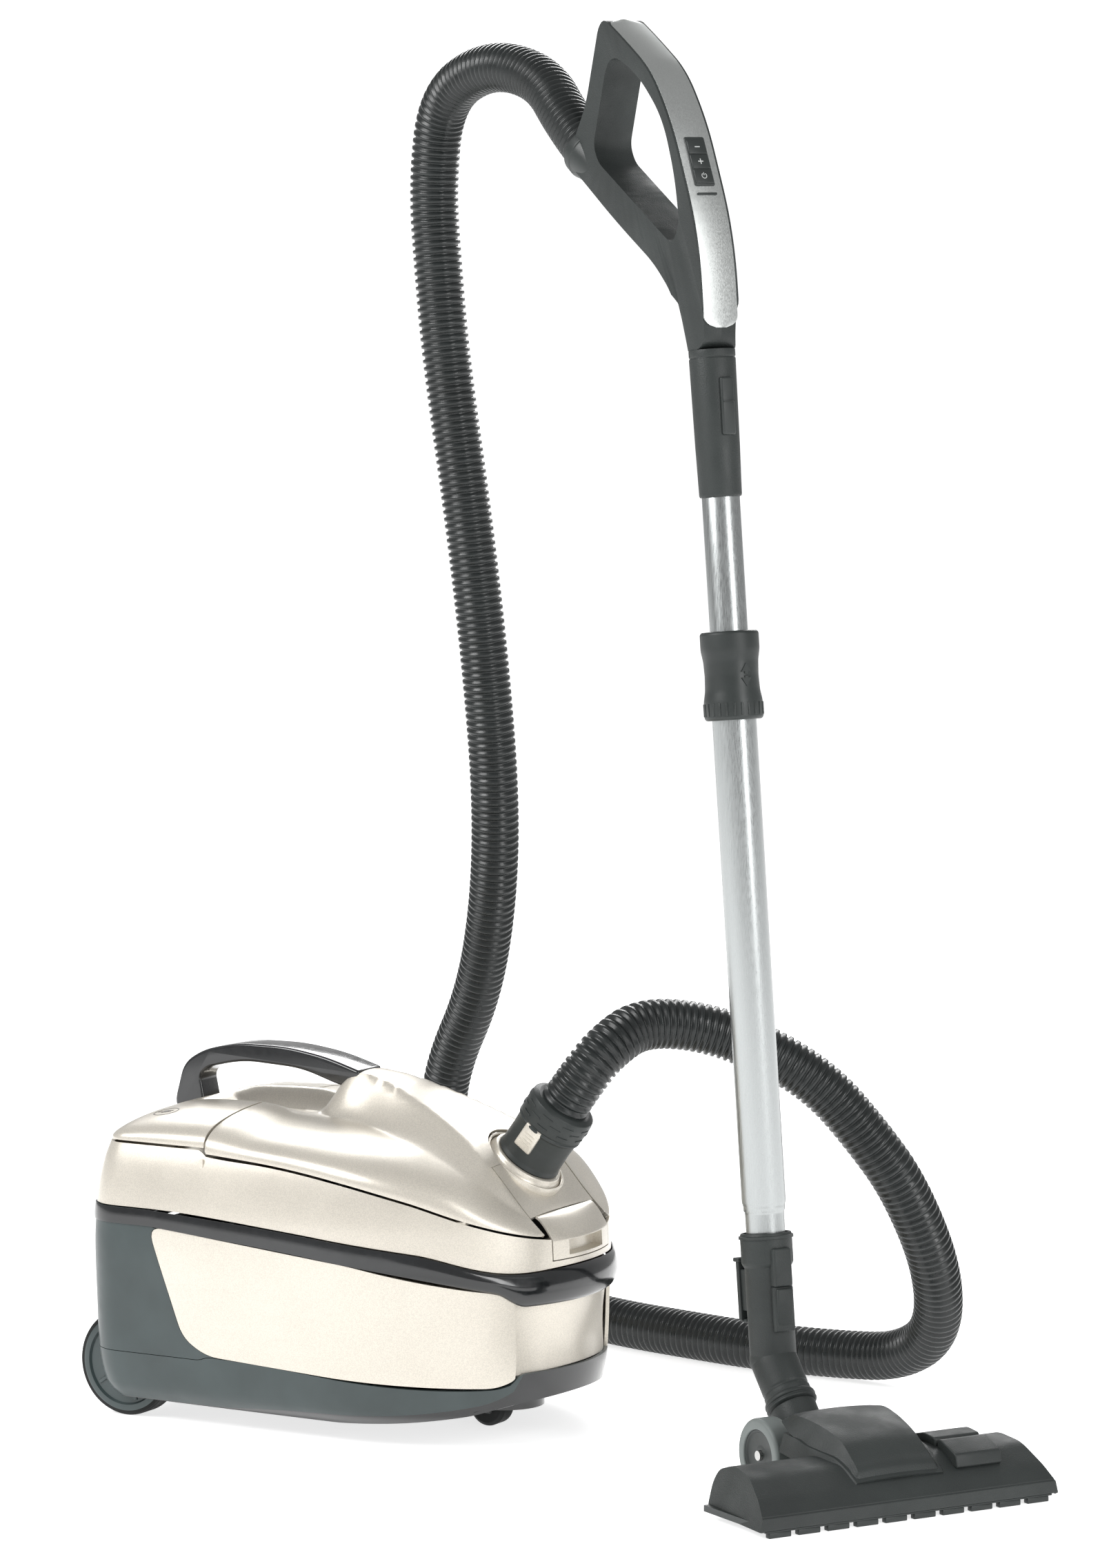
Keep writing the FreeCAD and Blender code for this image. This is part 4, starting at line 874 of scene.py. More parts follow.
def latch():
    """Lid latch with a finger recess, across the nose."""
    def place_point(across_part, up_part):
        y = -45.5 + 91 * across_part
        if up_part < 0.5:
            height = 154.8 + (171.5 - 154.8) * up_part * 2
            inset = smooth_line(TUCK, height)
            x = NOSE - NOSE_RADIUS + math.sqrt((NOSE_RADIUS - inset) ** 2 - y * y)
            return Vector((x, y, height))
        part = (up_part - 0.5) * 2
        inset = smooth_line(TUCK, 171.5)
        x_edge = NOSE - NOSE_RADIUS + math.sqrt((NOSE_RADIUS - inset) ** 2 - y * y)
        x = x_edge + (207.2 - x_edge) * part
        top = smooth_line(SPINE, 207.2)
        return Vector((x, y, 171.5 + (top - 171.5) * (1 - (1 - part) ** 1.5)))
    sheet = outwards(sheet_grid(40, 24, place_point), (150, 0, 150))
    front = [face for face in sheet.faces
             if abs(face.calc_center_median().y) < 27 and 157.5 < face.calc_center_median().z < 170.5
             and face.normal.x > 0.6]
    pressed = bmesh.ops.extrude_face_region(sheet, geom=front)
    inner = [part for part in pressed["geom"] if isinstance(part, bmesh.types.BMVert)]
    bmesh.ops.delete(sheet, geom=[face for face in front if face.is_valid], context="FACES_ONLY")
    bmesh.ops.translate(sheet, verts=inner, vec=(-9, 0, 0))
    bmesh.ops.scale(sheet, verts=inner, vec=(1, 0.94, 0.86), space=Matrix.Translation((0, 0, -165)))
    finish_piece("latch", sheet, "champagne", "lid_latch", ["latch"], at=CANISTER,
                 wall=0.002, edge=0.0012)


def pedals():
    """The two foot pedals behind the lid, each with its mark."""
    for name, side in (("power", 1), ("rewind", -1)):
        cap = top_sheet()
        cut(cap, (-62, 0, 0), (1, 0, 0), clear=True)
        cut(cap, (0, side * 46.6, 0), (0, -side, 0), clear=True)
        finish_piece(f"{name}_pedal", cap, "champagne", f"{name}_foot_pedal", [f"{name}_pedal"],
                     at=CANISTER, wall=0.0026, edge=sizes().soft_edge)
        mark_x, mark_y = -128, side * 91
        ring = turned([(10.2, -0.2), (11, -0.2), (11, 0.25), (10.2, 0.25)], steps=56)
        if name == "rewind":
            body = box((-3.2, 2.2), (-3, 3), (-0.2, 0.3), 0.1, 1)
            pins = [box((2, 6), (y - 0.6, y + 0.6), (-0.2, 0.3), 0.1, 1) for y in (-1.9, 1.9)]
            lead = box((-8, -3), (-0.6, 0.6), (-0.2, 0.3), 0.1, 1)
            sign = joined(ring, body, lead, *pins)
        else:
            arc = turned([(4.6, -0.2), (5.6, -0.2), (5.6, 0.3), (4.6, 0.3)], steps=30, turn=5.2)
            moved(arc, Matrix.Rotation(0.54, 4, "Z"))
            sign = joined(ring, arc, box((1.5, 7), (-0.6, 0.6), (-0.2, 0.3), 0.1, 1))
        bmesh.ops.subdivide_edges(sign, edges=[e for e in sign.edges if e.calc_length() > 3], cuts=2)
        for vert in sign.verts:
            x, y = mark_x + vert.co.x, mark_y + vert.co.y
            vert.co = (x, y, surface_height(x, y) + vert.co.z)
        finish_piece(f"{name}_mark", sign, "print", f"{name}_foot_pedal", slot="champagne", at=CANISTER)


def carry_handle():
    """Gloss black arch from the tail to the hump."""
    outer = [(-174, 244), (-162, 287), (-140, 300), (-102, 308), (-55, 308.5), (-15, 303), (19, 293.3)]
    inner = [(18, 287), (4, 279), (-6, 281), (-40, 291), (-100, 293), (-136, 285), (-145, 277),
             (-138, 244)]
    arch = prism(rounded(outer + inner, 16, 6), -18, 18)
    for vert in arch.verts:
        vert.co.y *= smooth_line([(-174, 0.72), (-120, 0.8), (-20, 1), (20, 1.04)], vert.co.x)
    soften(arch, 5.5, 4, angle=60)
    finish_piece("carry_handle", arch, "black", "lid", ["carry_handle"], at=CANISTER)
    sign = bmesh.new()
    bmesh.ops.create_circle(sign, cap_ends=True, radius=3.4, segments=3)
    moved(sign, Matrix.Translation((4, -9.5, 296.7)) @ Matrix.Rotation(0.21, 4, "Y"))
    made = bmesh.ops.extrude_face_region(sign, geom=sign.faces[:])
    bmesh.ops.translate(sign, verts=[v for v in made["geom"] if isinstance(v, bmesh.types.BMVert)],
                        vec=(0, 0, 0.4))
    bmesh.ops.recalc_face_normals(sign, faces=sign.faces)
    finish_piece("handle_mark", sign, "signal", "lid", slot="black", at=CANISTER)


# ---------------------------------------------------------------- canister fittings

def rear_wheels():
    """Rear wheels: dished hubs in grooved rubber tyres."""
    for name, side in SIDES:
        hub = turned([
            (4.1, 0), (14, 0), (14, 5), (37, 5), (37, 0), (41, 0), (41, 21), (39.5, 21.6), (36, 21.4),
            (34.5, 19.2), (22, 18.6), (14, 19.4), (12, 21.2), (10, 21.8), (0, 21.8), (0, 18.5),
            (4.1, 18.5)], steps=96)
        for index in range(5):
            spoke = box((15, 33), (-1.6, 1.6), (18, 20.4), 0.8, 2)
            hub = joined(hub, moved(spoke, Matrix.Rotation(math.tau * index / 5, 4, "Z")))
        treads = []
        for low in (2.4, 6.6, 10.8, 15):
            treads += [(44.4, low), (45, low + 0.5), (45, low + 3.2), (44.4, low + 3.7)]
        tyre = turned([(41, 1), (43.8, 1.2)] + treads + [(43.8, 20.8), (41, 21)], steps=96)
        wheel = joined(hub, tyre, marks=[0, 1])
        at = CANISTER @ Matrix.Translation((-150, side * 103, 45)) @ Matrix.Rotation(
            -side * math.pi / 2, 4, "X")
        finish_piece(f"rear_wheel_{name}", wheel, ["slate", "tyre"], f"{name}_wheel",
                     [f"rear_wheel_{name}"], at=at)


def suction_inlet():
    """Champagne collar, the hose's black cuff with its grip dashes, and the release buttons."""
    collar = turned(rounded([
        (26.4, -44), (29.9, -44), (29.9, -4), (33.9, -4), (33.9, 2), (31.6, 4.6), (30.8, 8),
        (26.4, 8)], 0.9, 3), steps=96)
    finish_piece("inlet_collar", collar, "champagne", "housing", ["inlet_collar"], at=INLET)
    cuff = turned(rounded([
        (17, -40), (26.3, -40), (26.3, 9), (28.4, 9), (27.2, 13), (26.9, 30), (27.6, 41.6), (29, 42.6),
        (29, 44.4), (28.2, 45), (28.2, 45.8), (29, 46.4), (29.3, 60), (28.6, 65.6), (24.4, 68),
        (17, 68)], 0.7, 3), steps=96)
    dashes = [cuff]
    for row, height in enumerate((50.5, 55.5, 60.5)):
        for index in range(9):
            dash = box((28.7, 29.75), (-5.2, 5.2), (height - 0.7, height + 0.7), 0.3, 2)
            bmesh.ops.subdivide_edges(
                dash, edges=[edge for edge in dash.edges if edge.calc_length() > 6], cuts=4)
            for vert in dash.verts:
                vert.co.x -= 29 - math.sqrt(29 ** 2 - vert.co.y ** 2)
            angle = math.tau * (index + 0.5 * (row % 2)) / 9
            dashes.append(moved(dash, Matrix.Rotation(angle, 4, "Z")))
    finish_piece("hose_cuff", joined(*dashes), "moulded", "housing", ["hose_cuff"],
                 slot="textured_black", at=INLET)
    for name, side in SIDES:
        button = box((-8.4, 8.4), (21.6, 28.6), (22.6, 45.4), 1.6, 4)
        ridges = [box((-5.6, 5.6), (28.3, 29.2), (height, height + 1.1), 0.4, 2)
                  for height in (28, 31, 34, 37)]
        at = INLET if side > 0 else INLET @ Matrix.Rotation(math.pi, 4, "Z")
        finish_piece(f"release_button_{name}", joined(button, *ridges), "champagne",
                     f"{name}_release", [f"release_button_{name}"], at=at)


def dust_bag():
    """Full paper dust bag: bulging faces, tucked gussets and pressed creases."""
    low, high = (corner * 1000 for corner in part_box("dust_bag"))
    middle, half = (low + high) / 2, (high - low) / 2
    bag = bmesh.new()
    bmesh.ops.create_cube(bag, size=2)
    bmesh.ops.subdivide_edges(bag, edges=bag.edges[:], cuts=22, use_grid_fill=True)
    for vert in bag.verts:
        u, v, w = vert.co
        full = (abs(u) ** 6 + abs(v) ** 6 + abs(w) ** 6) ** (-1 / 6)
        tuck = 1 - 0.10 * math.exp(-(w / 0.16) ** 2) * abs(v) ** 6
        wrinkle = 1 + 0.007 * math.sin(9 * u + 5 * w) * math.sin(7 * v - 3 * u)
        slope = 1 - 0.16 * max(0, u) * max(0, w)
        vert.co = middle + Vector((u * half.x, v * half.y * tuck, w * half.z * slope)) * (
            0.955 * full * wrinkle * max(abs(u), abs(v), abs(w)))
    bmesh.ops.smooth_vert(bag, verts=bag.verts, factor=0.5, use_axis_x=True, use_axis_y=True,
                          use_axis_z=True)
    finish_piece("dust_bag", bag, "paper", "housing", ["dust_bag"])


CAD_FINISHES = {
    "lid_hinge_pin": "steel", "rear_axles": "steel", "castor_fork": "inside",
    "castor_wheel": "tyre", "bag_holder": "inside", "motor_bulkhead": "inside",
    "motor_unit": "copper", "motor_filter": "filter", "cord_reel": "inside",
    "exhaust_filter": "slate", "cord_outlet": "moulded", "circuit_board": "board",
    "lid_seal": "rubber", "power_pedal_spring": "steel", "rewind_pedal_spring": "steel",
    "housing_screws": "steel", "roller_axle": "steel", "sole_plate": "moulded",
}


def dress_inner_parts():
    """Give the parts that keep their frame shape a finish of their own."""
    for name, finish in CAD_FINISHES.items():
        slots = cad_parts[name].data.materials
        for index in range(len(slots)):
            slots[index] = FINISHES[finish]
        if not slots:
            slots.append(FINISHES[finish])


# ---------------------------------------------------------------- suction hose

HOSE_ROUTE = [
    (209, 0, 279.1), (225.5, 0, 301.8), (240, 14, 326), (254, 48, 344), (290, 86, 339),
    (335, 113, 320), (377, 140, 289), (406, 163, 246), (428, 192, 198), (437, 238, 122),
    (416, 282, 58), (367, 307, 27), (302, 317, 21), (222, 314, 21), (140, 330, 21),
    (75, 344, 21), (4, 360, 24), (-50, 364, 48), (-90, 363, 86), (-116, 359, 134),
    (-123, 352, 189), (-110, 342, 242), (-66, 322, 312), (-33, 292, 398), (-18, 272, 490),
    (-17, 254, 605), (-25, 239, 736), (-42, 228, 881), (-49, 226, 961), (-54, 225, 1034),
    (-38, 214, 1111), (29, 182, 1140), (100, 152, 1128), (149, 111, 1088), (176.5, 95, 1067.9),
]
HOSE_RADIUS = 0.021


def hose_line():
    """Points along the smooth line of the hose, in metres."""
    route = [METRES @ CANISTER @ Vector(point) for point in HOSE_ROUTE]
    curve = bpy.data.curves.new("hose_line", "CURVE")
    curve.dimensions = "3D"
    spline = curve.splines.new("NURBS")
    spline.points.add(len(route) - 1)
    for point, spot in zip(spline.points, route):
        point.co = (*spot, 1)
    spline.order_u = 3
    spline.use_endpoint_u = True
    spline.resolution_u = 60
    holder = bpy.data.objects.new("hose_line", curve)
    bpy.context.scene.collection.objects.link(holder)
    mesh = bpy.data.meshes.new_from_object(holder)
    points = [vert.co.copy() for vert in mesh.vertices]
    bpy.data.objects.remove(holder)
    bpy.data.curves.remove(curve)
    bpy.data.meshes.remove(mesh)
    return points


def suction_hose():
    """Ribbed hose: one moulded ridge after another along the whole line."""
    points = hose_line()
    reach = [0.0]
    for a, b in zip(points, points[1:]):
        reach.append(reach[-1] + (b - a).length)
    pitch, ridge = sizes().hose_pitch, sizes().hose_ridge
    ridge_count = int(reach[-1] / pitch)
    profile = ((0.0, 0), (0.36, 0), (0.52, -ridge), (0.84, -ridge))
    stations = [((index + part) * reach[-1] / ridge_count, drop)
                for index in range(ridge_count) for part, drop in profile]
    stations.append((reach[-1], 0))
    frames, place_in_line = [], 0
    across = None
    for distance, drop in stations:
        while place_in_line < len(reach) - 2 and reach[place_in_line + 1] < distance:
            place_in_line += 1
        start, end = points[place_in_line], points[place_in_line + 1]
        part = (distance - reach[place_in_line]) / max(1e-9, (end - start).length)
        before = points[max(0, place_in_line - 1)]
        after = points[min(len(points) - 1, place_in_line + 2)]
        way = (end - before).normalized().lerp((after - start).normalized(), part).normalized()
        across = way.orthogonal() if across is None else across - way * across.dot(way)
        across.normalize()
        frames.append((start.lerp(end, part), across.copy(), way.cross(across), HOSE_RADIUS + drop))
    sides = 28
    bm = bmesh.new()
    bmesh.ops.create_grid(bm, x_segments=sides, y_segments=len(frames) - 1, size=0.5)
    for vert in bm.verts:
        centre, first, second, radius = frames[round((vert.co.y + 0.5) * (len(frames) - 1))]
        angle = math.tau * (vert.co.x + 0.5)
        vert.co = centre + (first * math.cos(angle) + second * math.sin(angle)) * radius
    bmesh.ops.remove_doubles(bm, verts=bm.verts, dist=1e-5)
    ends = [edge for edge in bm.edges if edge.is_boundary]
    bmesh.ops.holes_fill(bm, edges=ends, sides=0)
    bmesh.ops.recalc_face_normals(bm, faces=bm.faces)
    hose = finish_piece("suction_hose", bm, "hose", "housing", ["suction_hose"],
                        at=METRES.inverted(), sharp=75)
    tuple(points[0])


# ---------------------------------------------------------------- handle

GRIP_OUTLINE = [(17, 118), (17, 210), (-13, 303), (-40, 350), (-80, 381), (-108, 401), (-117, 395),
                (-145, 333), (-166, 309), (-178, 290), (-109, 235), (-52, 194), (-29, 169),
                (-18, 145), (-18, 118)]
GRIP_OPENING = [(-22, 206), (-9, 222), (-12, 262), (-25, 310), (-60, 350), (-103, 374), (-136, 300),
                (-130, 285)]


def handle_grip():
    """D-shaped grip in two grained halves with a crowned silver cover down its front."""
    line = rounded(GRIP_OUTLINE, 60, 8)
    outer = closed_loop(line, 190)
    opening = closed_loop(rounded(GRIP_OPENING, 40, 7), 190)
    for name, side in SIDES:
        half = prism(outer, 0, 18 * side, hole=opening)
        soften(half, 4.5, 5, angle=60, chosen=lambda edge: all(
            abs(vert.co.y) > 17.9 for vert in edge.verts))
        for vert in half.verts:
            limit = smooth_line([(118, 19.2), (150, 23), (192, 62)], vert.co.z)
            reach = math.hypot(vert.co.x, vert.co.y)
            if vert.co.z < 190 and reach > limit:
                vert.co.x *= limit / reach
                vert.co.y *= limit / reach
        finish_piece(f"handle_{name}", half, "textured_black", "housing", [f"handle_{name}"], at=HAND)
    front = [Vector(point) for point in rounded(GRIP_OUTLINE[:6], 60, 8, closed=False)]
    reach = [0.0]
    for a, b in zip(front, front[1:]):
        reach.append(reach[-1] + (b - a).length)
    start, finish = 17.0, reach[-1] - 3

    def place_point(along_part, across_part):
        distance = start + (finish - start) * along_part
        index = next(k for k in range(len(reach) - 1) if reach[k + 1] >= distance)
        a, b = front[index], front[index + 1]
        point = a.lerp(b, (distance - reach[index]) / (b - a).length)
        way = (front[min(len(front) - 1, index + 2)] - front[max(0, index - 1)]).normalized()
        v = 2 * across_part - 1
        lower = min(1, (distance - start + 0.4) / 11)
        upper = min(1, (finish - distance + 0.4) / 9)
        half = 16 * math.sqrt(1 - (1 - lower) ** 2.4) * math.sqrt(1 - (1 - upper) ** 2.4)
        lift = 1.5 - 1.0 * v * v - 0.4 * (1 - min(1, (distance - start) / 60))
        return Vector((point.x + way.y * lift, half * v, point.y - way.x * lift))
    cover = outwards(sheet_grid(150, 16, place_point), (-60, 0, 270))
    finish_piece("handle_cover", cover, "silver", "housing", ["handle_cover"], at=HAND,
                 wall=0.002, edge=0.0007)
    pad = box((-1.2, 4.3), (-9.8, 9.8), (-21.5, 22.5), 2.2, 4)
    slot_line = box((-1.2, 3.9), (-9.2, 9.2), (-29.2, -27.2), 0.5, 2)
    finish_piece("keypad", joined(pad, slot_line), "moulded", "housing", slot="textured_black",
                 at=KEYPAD)
    bodies = {"power": "on_key", "plus": "more_key", "minus": "less_key"}
    for index, (name, body) in enumerate(bodies.items()):
        low = -19.2 + 12.9 * index
        middle = low + 6.1
        key = box((-1, 5.1), (-8.5, 8.5), (low, low + 12.3), 1.0, 3)
        if name == "power":
            sign = moved(turned([(1.9, 4.9), (2.5, 4.9), (2.5, 5.25), (1.9, 5.25)], steps=24, turn=5.2),
                         Matrix.Translation((0, 0, middle)) @ Matrix.Rotation(math.pi / 2, 4, "Y")
                         @ Matrix.Rotation(math.pi + 0.54, 4, "Z"))
            signs = [sign, box((4.9, 5.25), (-0.3, 0.3), (middle + 0.4, middle + 3), 0.1, 1)]
        else:
            signs = [box((4.9, 5.25), (-2.4, 2.4), (middle - 0.45, middle + 0.45), 0.1, 1)]
            if name == "plus":
                signs.append(box((4.9, 5.25), (-0.45, 0.45), (middle - 2.4, middle + 2.4), 0.1, 1))
        whole = joined(key, *signs, marks=[0] + [1] * len(signs))
        finish_piece(f"{name}_key", whole, ["moulded", "white"], body, [f"{name}_key"],
                     slot="black", at=KEYPAD)


def handle_ends():
    """Hose socket, the sleeve on the tube and its lock button."""
    socket = turned(rounded([
        (14, -8), (15.8, -8), (17.4, -4), (22.6, 20), (23.4, 21), (23.4, 29.4), (22.6, 30.4),
        (21.2, 30.4), (21.2, 24), (14, 22)], 0.8, 3), steps=80)
    finish_piece("hose_socket", socket, "moulded", "housing", ["hose_socket"],
                 slot="textured_black", at=ARM)
    sleeve = turned(rounded([
        (15.6, -1), (16.8, -1), (17.4, 0.4), (18.2, 40), (19, 111), (18.4, 111.5), (18.4, 112.2),
        (19, 112.8), (19, 118.4), (15.6, 118.4)], 0.4, 2), steps=80)
    finish_piece("handle_sleeve", sleeve, "textured_black", "housing", ["handle_sleeve"], at=HAND)
    button = box((17, 22.6), (-6, 6), (48, 95), 1.8, 4)
    for vert in button.verts:
        if vert.co.x > 19:
            vert.co.x -= max(0, vert.co.z - 76) * 0.07 + max(0, 54 - vert.co.z) * 0.4
    ridges = [box((20.4, 22.9), (-5.2, 5.2), (height, height + 0.9), 0.4, 2) for height in (74.6,)]
    finish_piece("sleeve_button", joined(button, *ridges), "moulded", "sleeve_lock",
                 ["sleeve_button"], slot="textured_black", at=HAND)


# ---------------------------------------------------------------- wand

def wand_tubes():
    """Telescopic satin tubes with their guide and lock bushes."""
    upper = turned([
        (14.3, 120), (15.2, 120), (15.5, 120.4), (15.5, 711.6), (15.2, 712), (14.3, 712)], steps=96)
    guide = turned([(15.5, 122), (16.6, 122.6), (16.6, 139.4), (15.5, 140)], steps=64)
    finish_piece("upper_tube", joined(upper, guide, marks=[0, 1]), ["tube", "moulded"], "housing",
                 ["upper_tube"], at=WAND)
    lower = turned([
        (14.6, -22), (15.9, -22), (16, 11), (16.2, 13), (17, 14.2), (17, 17), (17.2, 18.6),
        (18, 21), (18, 439.6), (17.6, 440), (16.8, 440), (16.8, 24), (14.6, 10)], steps=96)
    bush = turned([
        (18, 414), (19.5, 414), (19.5, 480), (15.6, 480), (15.6, 440.2), (18, 440.2)], steps=64)
    finish_piece("lower_tube", joined(lower, bush, marks=[0, 1]), ["tube", "moulded"], "wand",
                 ["lower_tube"], at=WAND)
    collar = turned(rounded([
        (19.6, 412), (22.4, 412), (24, 414), (24, 427), (22.4, 436), (21.9, 448), (22.4, 460),
        (24, 469), (24, 482), (22.4, 484), (19.6, 484)], 2.2, 4), steps=96)
    signs = []
    for way in (1, -1):
        arrow = prism([(-4.6, 0), (4.6, 0), (0, 7)], 0, 1.4)
        stem = box((-1.5, 1.5), (0, 1.4), (-1.6, 0.2), 0.2, 1)
        for part in (arrow, stem):
            turn = Matrix.Rotation(math.pi / 2, 4, "Z")
            flip = Matrix.Diagonal((1, 1, way, 1))
            signs.append(moved(part, Matrix.Translation((22.9, 0, 448 + 2.4 * way)) @ turn @ flip))
    ribs = [moved(box((23.7, 24.5), (-1, 1), (415.5, 426), 0.4, 2), Matrix.Rotation(
        math.tau * index / 24, 4, "Z")) for index in range(24)]
    finish_piece("slide_collar", joined(collar, *signs, *ribs), "moulded", "collar",
                 ["slide_collar"], slot="textured_black", at=WAND)


def tool_neck():
    """Angled neck: socket, bend, parking clip and lock button, down to the turning elbow."""
    to_wand = SWIVEL.inverted() @ WAND
    lower = turned(rounded([
        (14, 3), (19.4, 3), (19.4, 8), (18.6, 9), (18.6, 10.4), (19.2, 11.4), (19.2, 40), (14, 40)],
        0.5, 2), steps=72)
    bend = bmesh.new()
    bmesh.ops.create_uvsphere(bend, u_segments=72, v_segments=36, radius=19.4)
    moved(bend, Matrix.Translation((0, 0, 39.8)))
    upper = turned(rounded([
        (14, -107), (19, -107), (19, -32), (20.6, -29.6), (21.2, -28), (21.2, -6), (20.4, -4),
        (18.4, -4), (18.4, -24), (14, -24)], 0.6, 3), steps=72)
    guard = box((13, 24.2), (-8.6, 8.6), (-47.6, -16), 2.2, 4)
    rail = box((17, 22.4), (-9.4, 9.4), (-84, -47), 1.6, 3)
    lip = turned([(20.6, -9), (22.4, -8.6), (22.4, -6.4), (20.6, -6)], steps=72)
    clip = [
        box((-29, -24.6), (-13, 13), (-76, -26), 1.4, 3), box((-26, -16), (-11, 11), (-68, -34), 1.2, 3),
        box((-31, -22), (-14, 14), (-28, -24.5), 1.0, 2),
        box((-29, -20), (-11, 11), (-77.5, -74.5), 0.9, 2),
    ]
    neck = [lower, bend] + [moved(part, to_wand) for part in [upper, guard, rail, lip, *clip]]
    finish_piece("tool_neck", joined(*neck), "textured_black", "wand", ["tool_neck"], at=SWIVEL)
    button = box((16.6, 25.4), (-7.8, 7.8), (-80, -48.6), 2.0, 4)
    for vert in button.verts:
        if vert.co.z < -70:
            vert.co.x -= 0.35 * (-70 - vert.co.z)
    finish_piece("neck_button", button, "textured_black", "neck_lock", ["neck_button"], at=WAND)


# ---------------------------------------------------------------- floor tool

def elbow():
    """Turning elbow between the neck and the tilt axle."""
    ring = turned(rounded([
        (0, -6), (19.6, -6), (21.4, -4.4), (21.4, -3), (20.4, -2.4), (20.4, -1.4), (21.4, -0.8),
        (21.4, 0.8), (20.6, 2.7), (13.9, 2.7), (13.9, 20), (11.5, 20), (11.5, 0), (0, 0)],
        0.5, 2), steps=72)
    throat = turned([(0, -44), (19, -44), (19, -6), (0, -6)], steps=72)
    barrel = turned(rounded([(4.1, 0), (18.6, 0), (20, 1.4), (20, 44.6), (18.6, 46), (4.1, 46)], 0.6, 2),
                    steps=72)
    moved(barrel, SWIVEL.inverted() @ TOOL @ Matrix.Translation((-145, -23, 30)) @ Matrix.Rotation(
        -math.pi / 2, 4, "X"))
    finish_piece("elbow", joined(ring, throat, barrel), "textured_black", "elbow_joint", ["elbow"],
                 at=SWIVEL)


def tool_rollers():
    """Rear rollers: pale grey treads round dark hub discs."""
    for name, side in SIDES:
        tread = turned(rounded([
            (21, 0), (28, 0), (30, 2), (30, 18), (28, 20), (21, 20)], 1.2, 3), steps=84)
        hub = turned(rounded([
            (4.1, 1), (21.2, 1), (21.2, 18.6), (19.4, 18.6), (18, 17), (8, 16.6), (4.1, 17.4)], 0.6, 2),
            steps=84)
        at = TOOL @ Matrix.Translation((-145, side * 31, 30)) @ Matrix.Rotation(
            -side * math.pi / 2, 4, "X")
        finish_piece(f"roller_{name}", joined(tread, hub, marks=[0, 1]), ["grey", "moulded"],
                     f"{name}_roller", [f"roller_{name}"], at=at)


TOOL_SECTION = [(0, 6), (0.3, 7), (0.3, 16.2), (-1.2, 16.8), (-1.4, 17.6), (-3, 19), (-12, 27.5),
                (-35, 42.6), (-62, 46), (-84, 39), (-90, 28), (-90, 6)]


HOOD_SECTIONS = [(-117, 67, 38, 62.8, 46), (-100, 69, 40, 56, 49), (-80, 67, 38, 50, 48.5),
                 (-62, 63, 36, 47.5, 46), (-46, 57, 35, 45.5, 43), (-30, 45.5, 35, 39, 41),
                 (-19.5, 36.5, 36, 33.5, 39), (-18, 31, 36, 29, 38.6)]
SKIRT_SECTIONS = [(-110, 55, 48.5, 40, 53), (-90, 54, 50, 38, 53), (-75, 50.6, 49, 41, 52.6),
                  (-60, 48.6, 47, 44, 51), (-45, 46.6, 44.5, 43, 48.4), (-30, 40.4, 42.4, 36, 45.4),
                  (-15.5, 31, 40.6, 29, 42.4)]


def tool_cover():
    """Grained cover with rounded ends, its parting line and the raised centre hood."""
    cover = prism(rounded(TOOL_SECTION, 7, 4), -142, 142)
    for _, side in SIDES:
        cut(cover, (0, side * 140.5, 6), (-0.085, side, 0.25), clear=True)
        bmesh.ops.holes_fill(cover, edges=[edge for edge in cover.edges if edge.is_boundary], sides=0)
    cover.normal_update()
    under = [face for face in cover.faces if face.calc_center_median().z < 6.5
             and abs(face.normal.z) > 0.9]
    bmesh.ops.delete(cover, geom=under, context="FACES_ONLY")
    outwards(cover, (-45, 0, 12))
    finish_piece("tool_cover", cover, "textured_black", "head", ["tool_cover"], at=TOOL,
                 wall=0.0025, edge=0.0011, sharp=34)
    for name, table in (("centre_hood", HOOD_SECTIONS), ("hood_skirt", SKIRT_SECTIONS)):
        sides = [[(x, row[index]) for x, *row in table] for index in range(4)]

        def place_hood(along_part, across_part, sides=sides):
            x = sides[0][0][0] + (sides[0][-1][0] - sides[0][0][0]) * along_part
            top, half_top, low, half_low = (smooth_line(line_of, x) for line_of in sides)
            v = 2 * across_part - 1
            side = 1 if v > 0 else -1
            part = abs(v) / 0.72
            if part <= 1:
                return Vector((x, side * half_top * part, top + 1.6 * (1 - part * part)))
            part = (abs(v) - 0.72) / 0.28
            return Vector((x, side * (half_top + (half_low - half_top) * part),
                           top + (low - top) * part))
        hood = outwards(sheet_grid(60, 50, place_hood), (-60, 0, 0))
        finish_piece(name, hood, "textured_black", "head", at=TOOL, wall=0.002, edge=0.0012, sharp=26)


PAD_SIDES = (54.4, 97.6)


def rocker():
    """Two-pad foot rocker that lowers the bristles."""
    rear = prism(rounded([(-79, 42), (-79, 49), (-64, 52.6), (-48.6, 51), (-47, 42)], 2.4, 3),
                 *PAD_SIDES)
    front = prism(rounded([(-45, 41), (-43.6, 50.4), (-40, 51), (-18.6, 42.8), (-16, 33), (-19, 31)],
                          2.2, 3), *PAD_SIDES)
    bridge = prism([(-60, 44), (-36, 41), (-36, 44), (-60, 48)], 57, 95)
    for part in (rear, front):
        soften(part, 1.1, 3, angle=50)
    finish_piece("rocker_pedal", joined(rear, front, bridge), "textured_black", "rocker",
                 ["rocker_pedal"], at=TOOL)


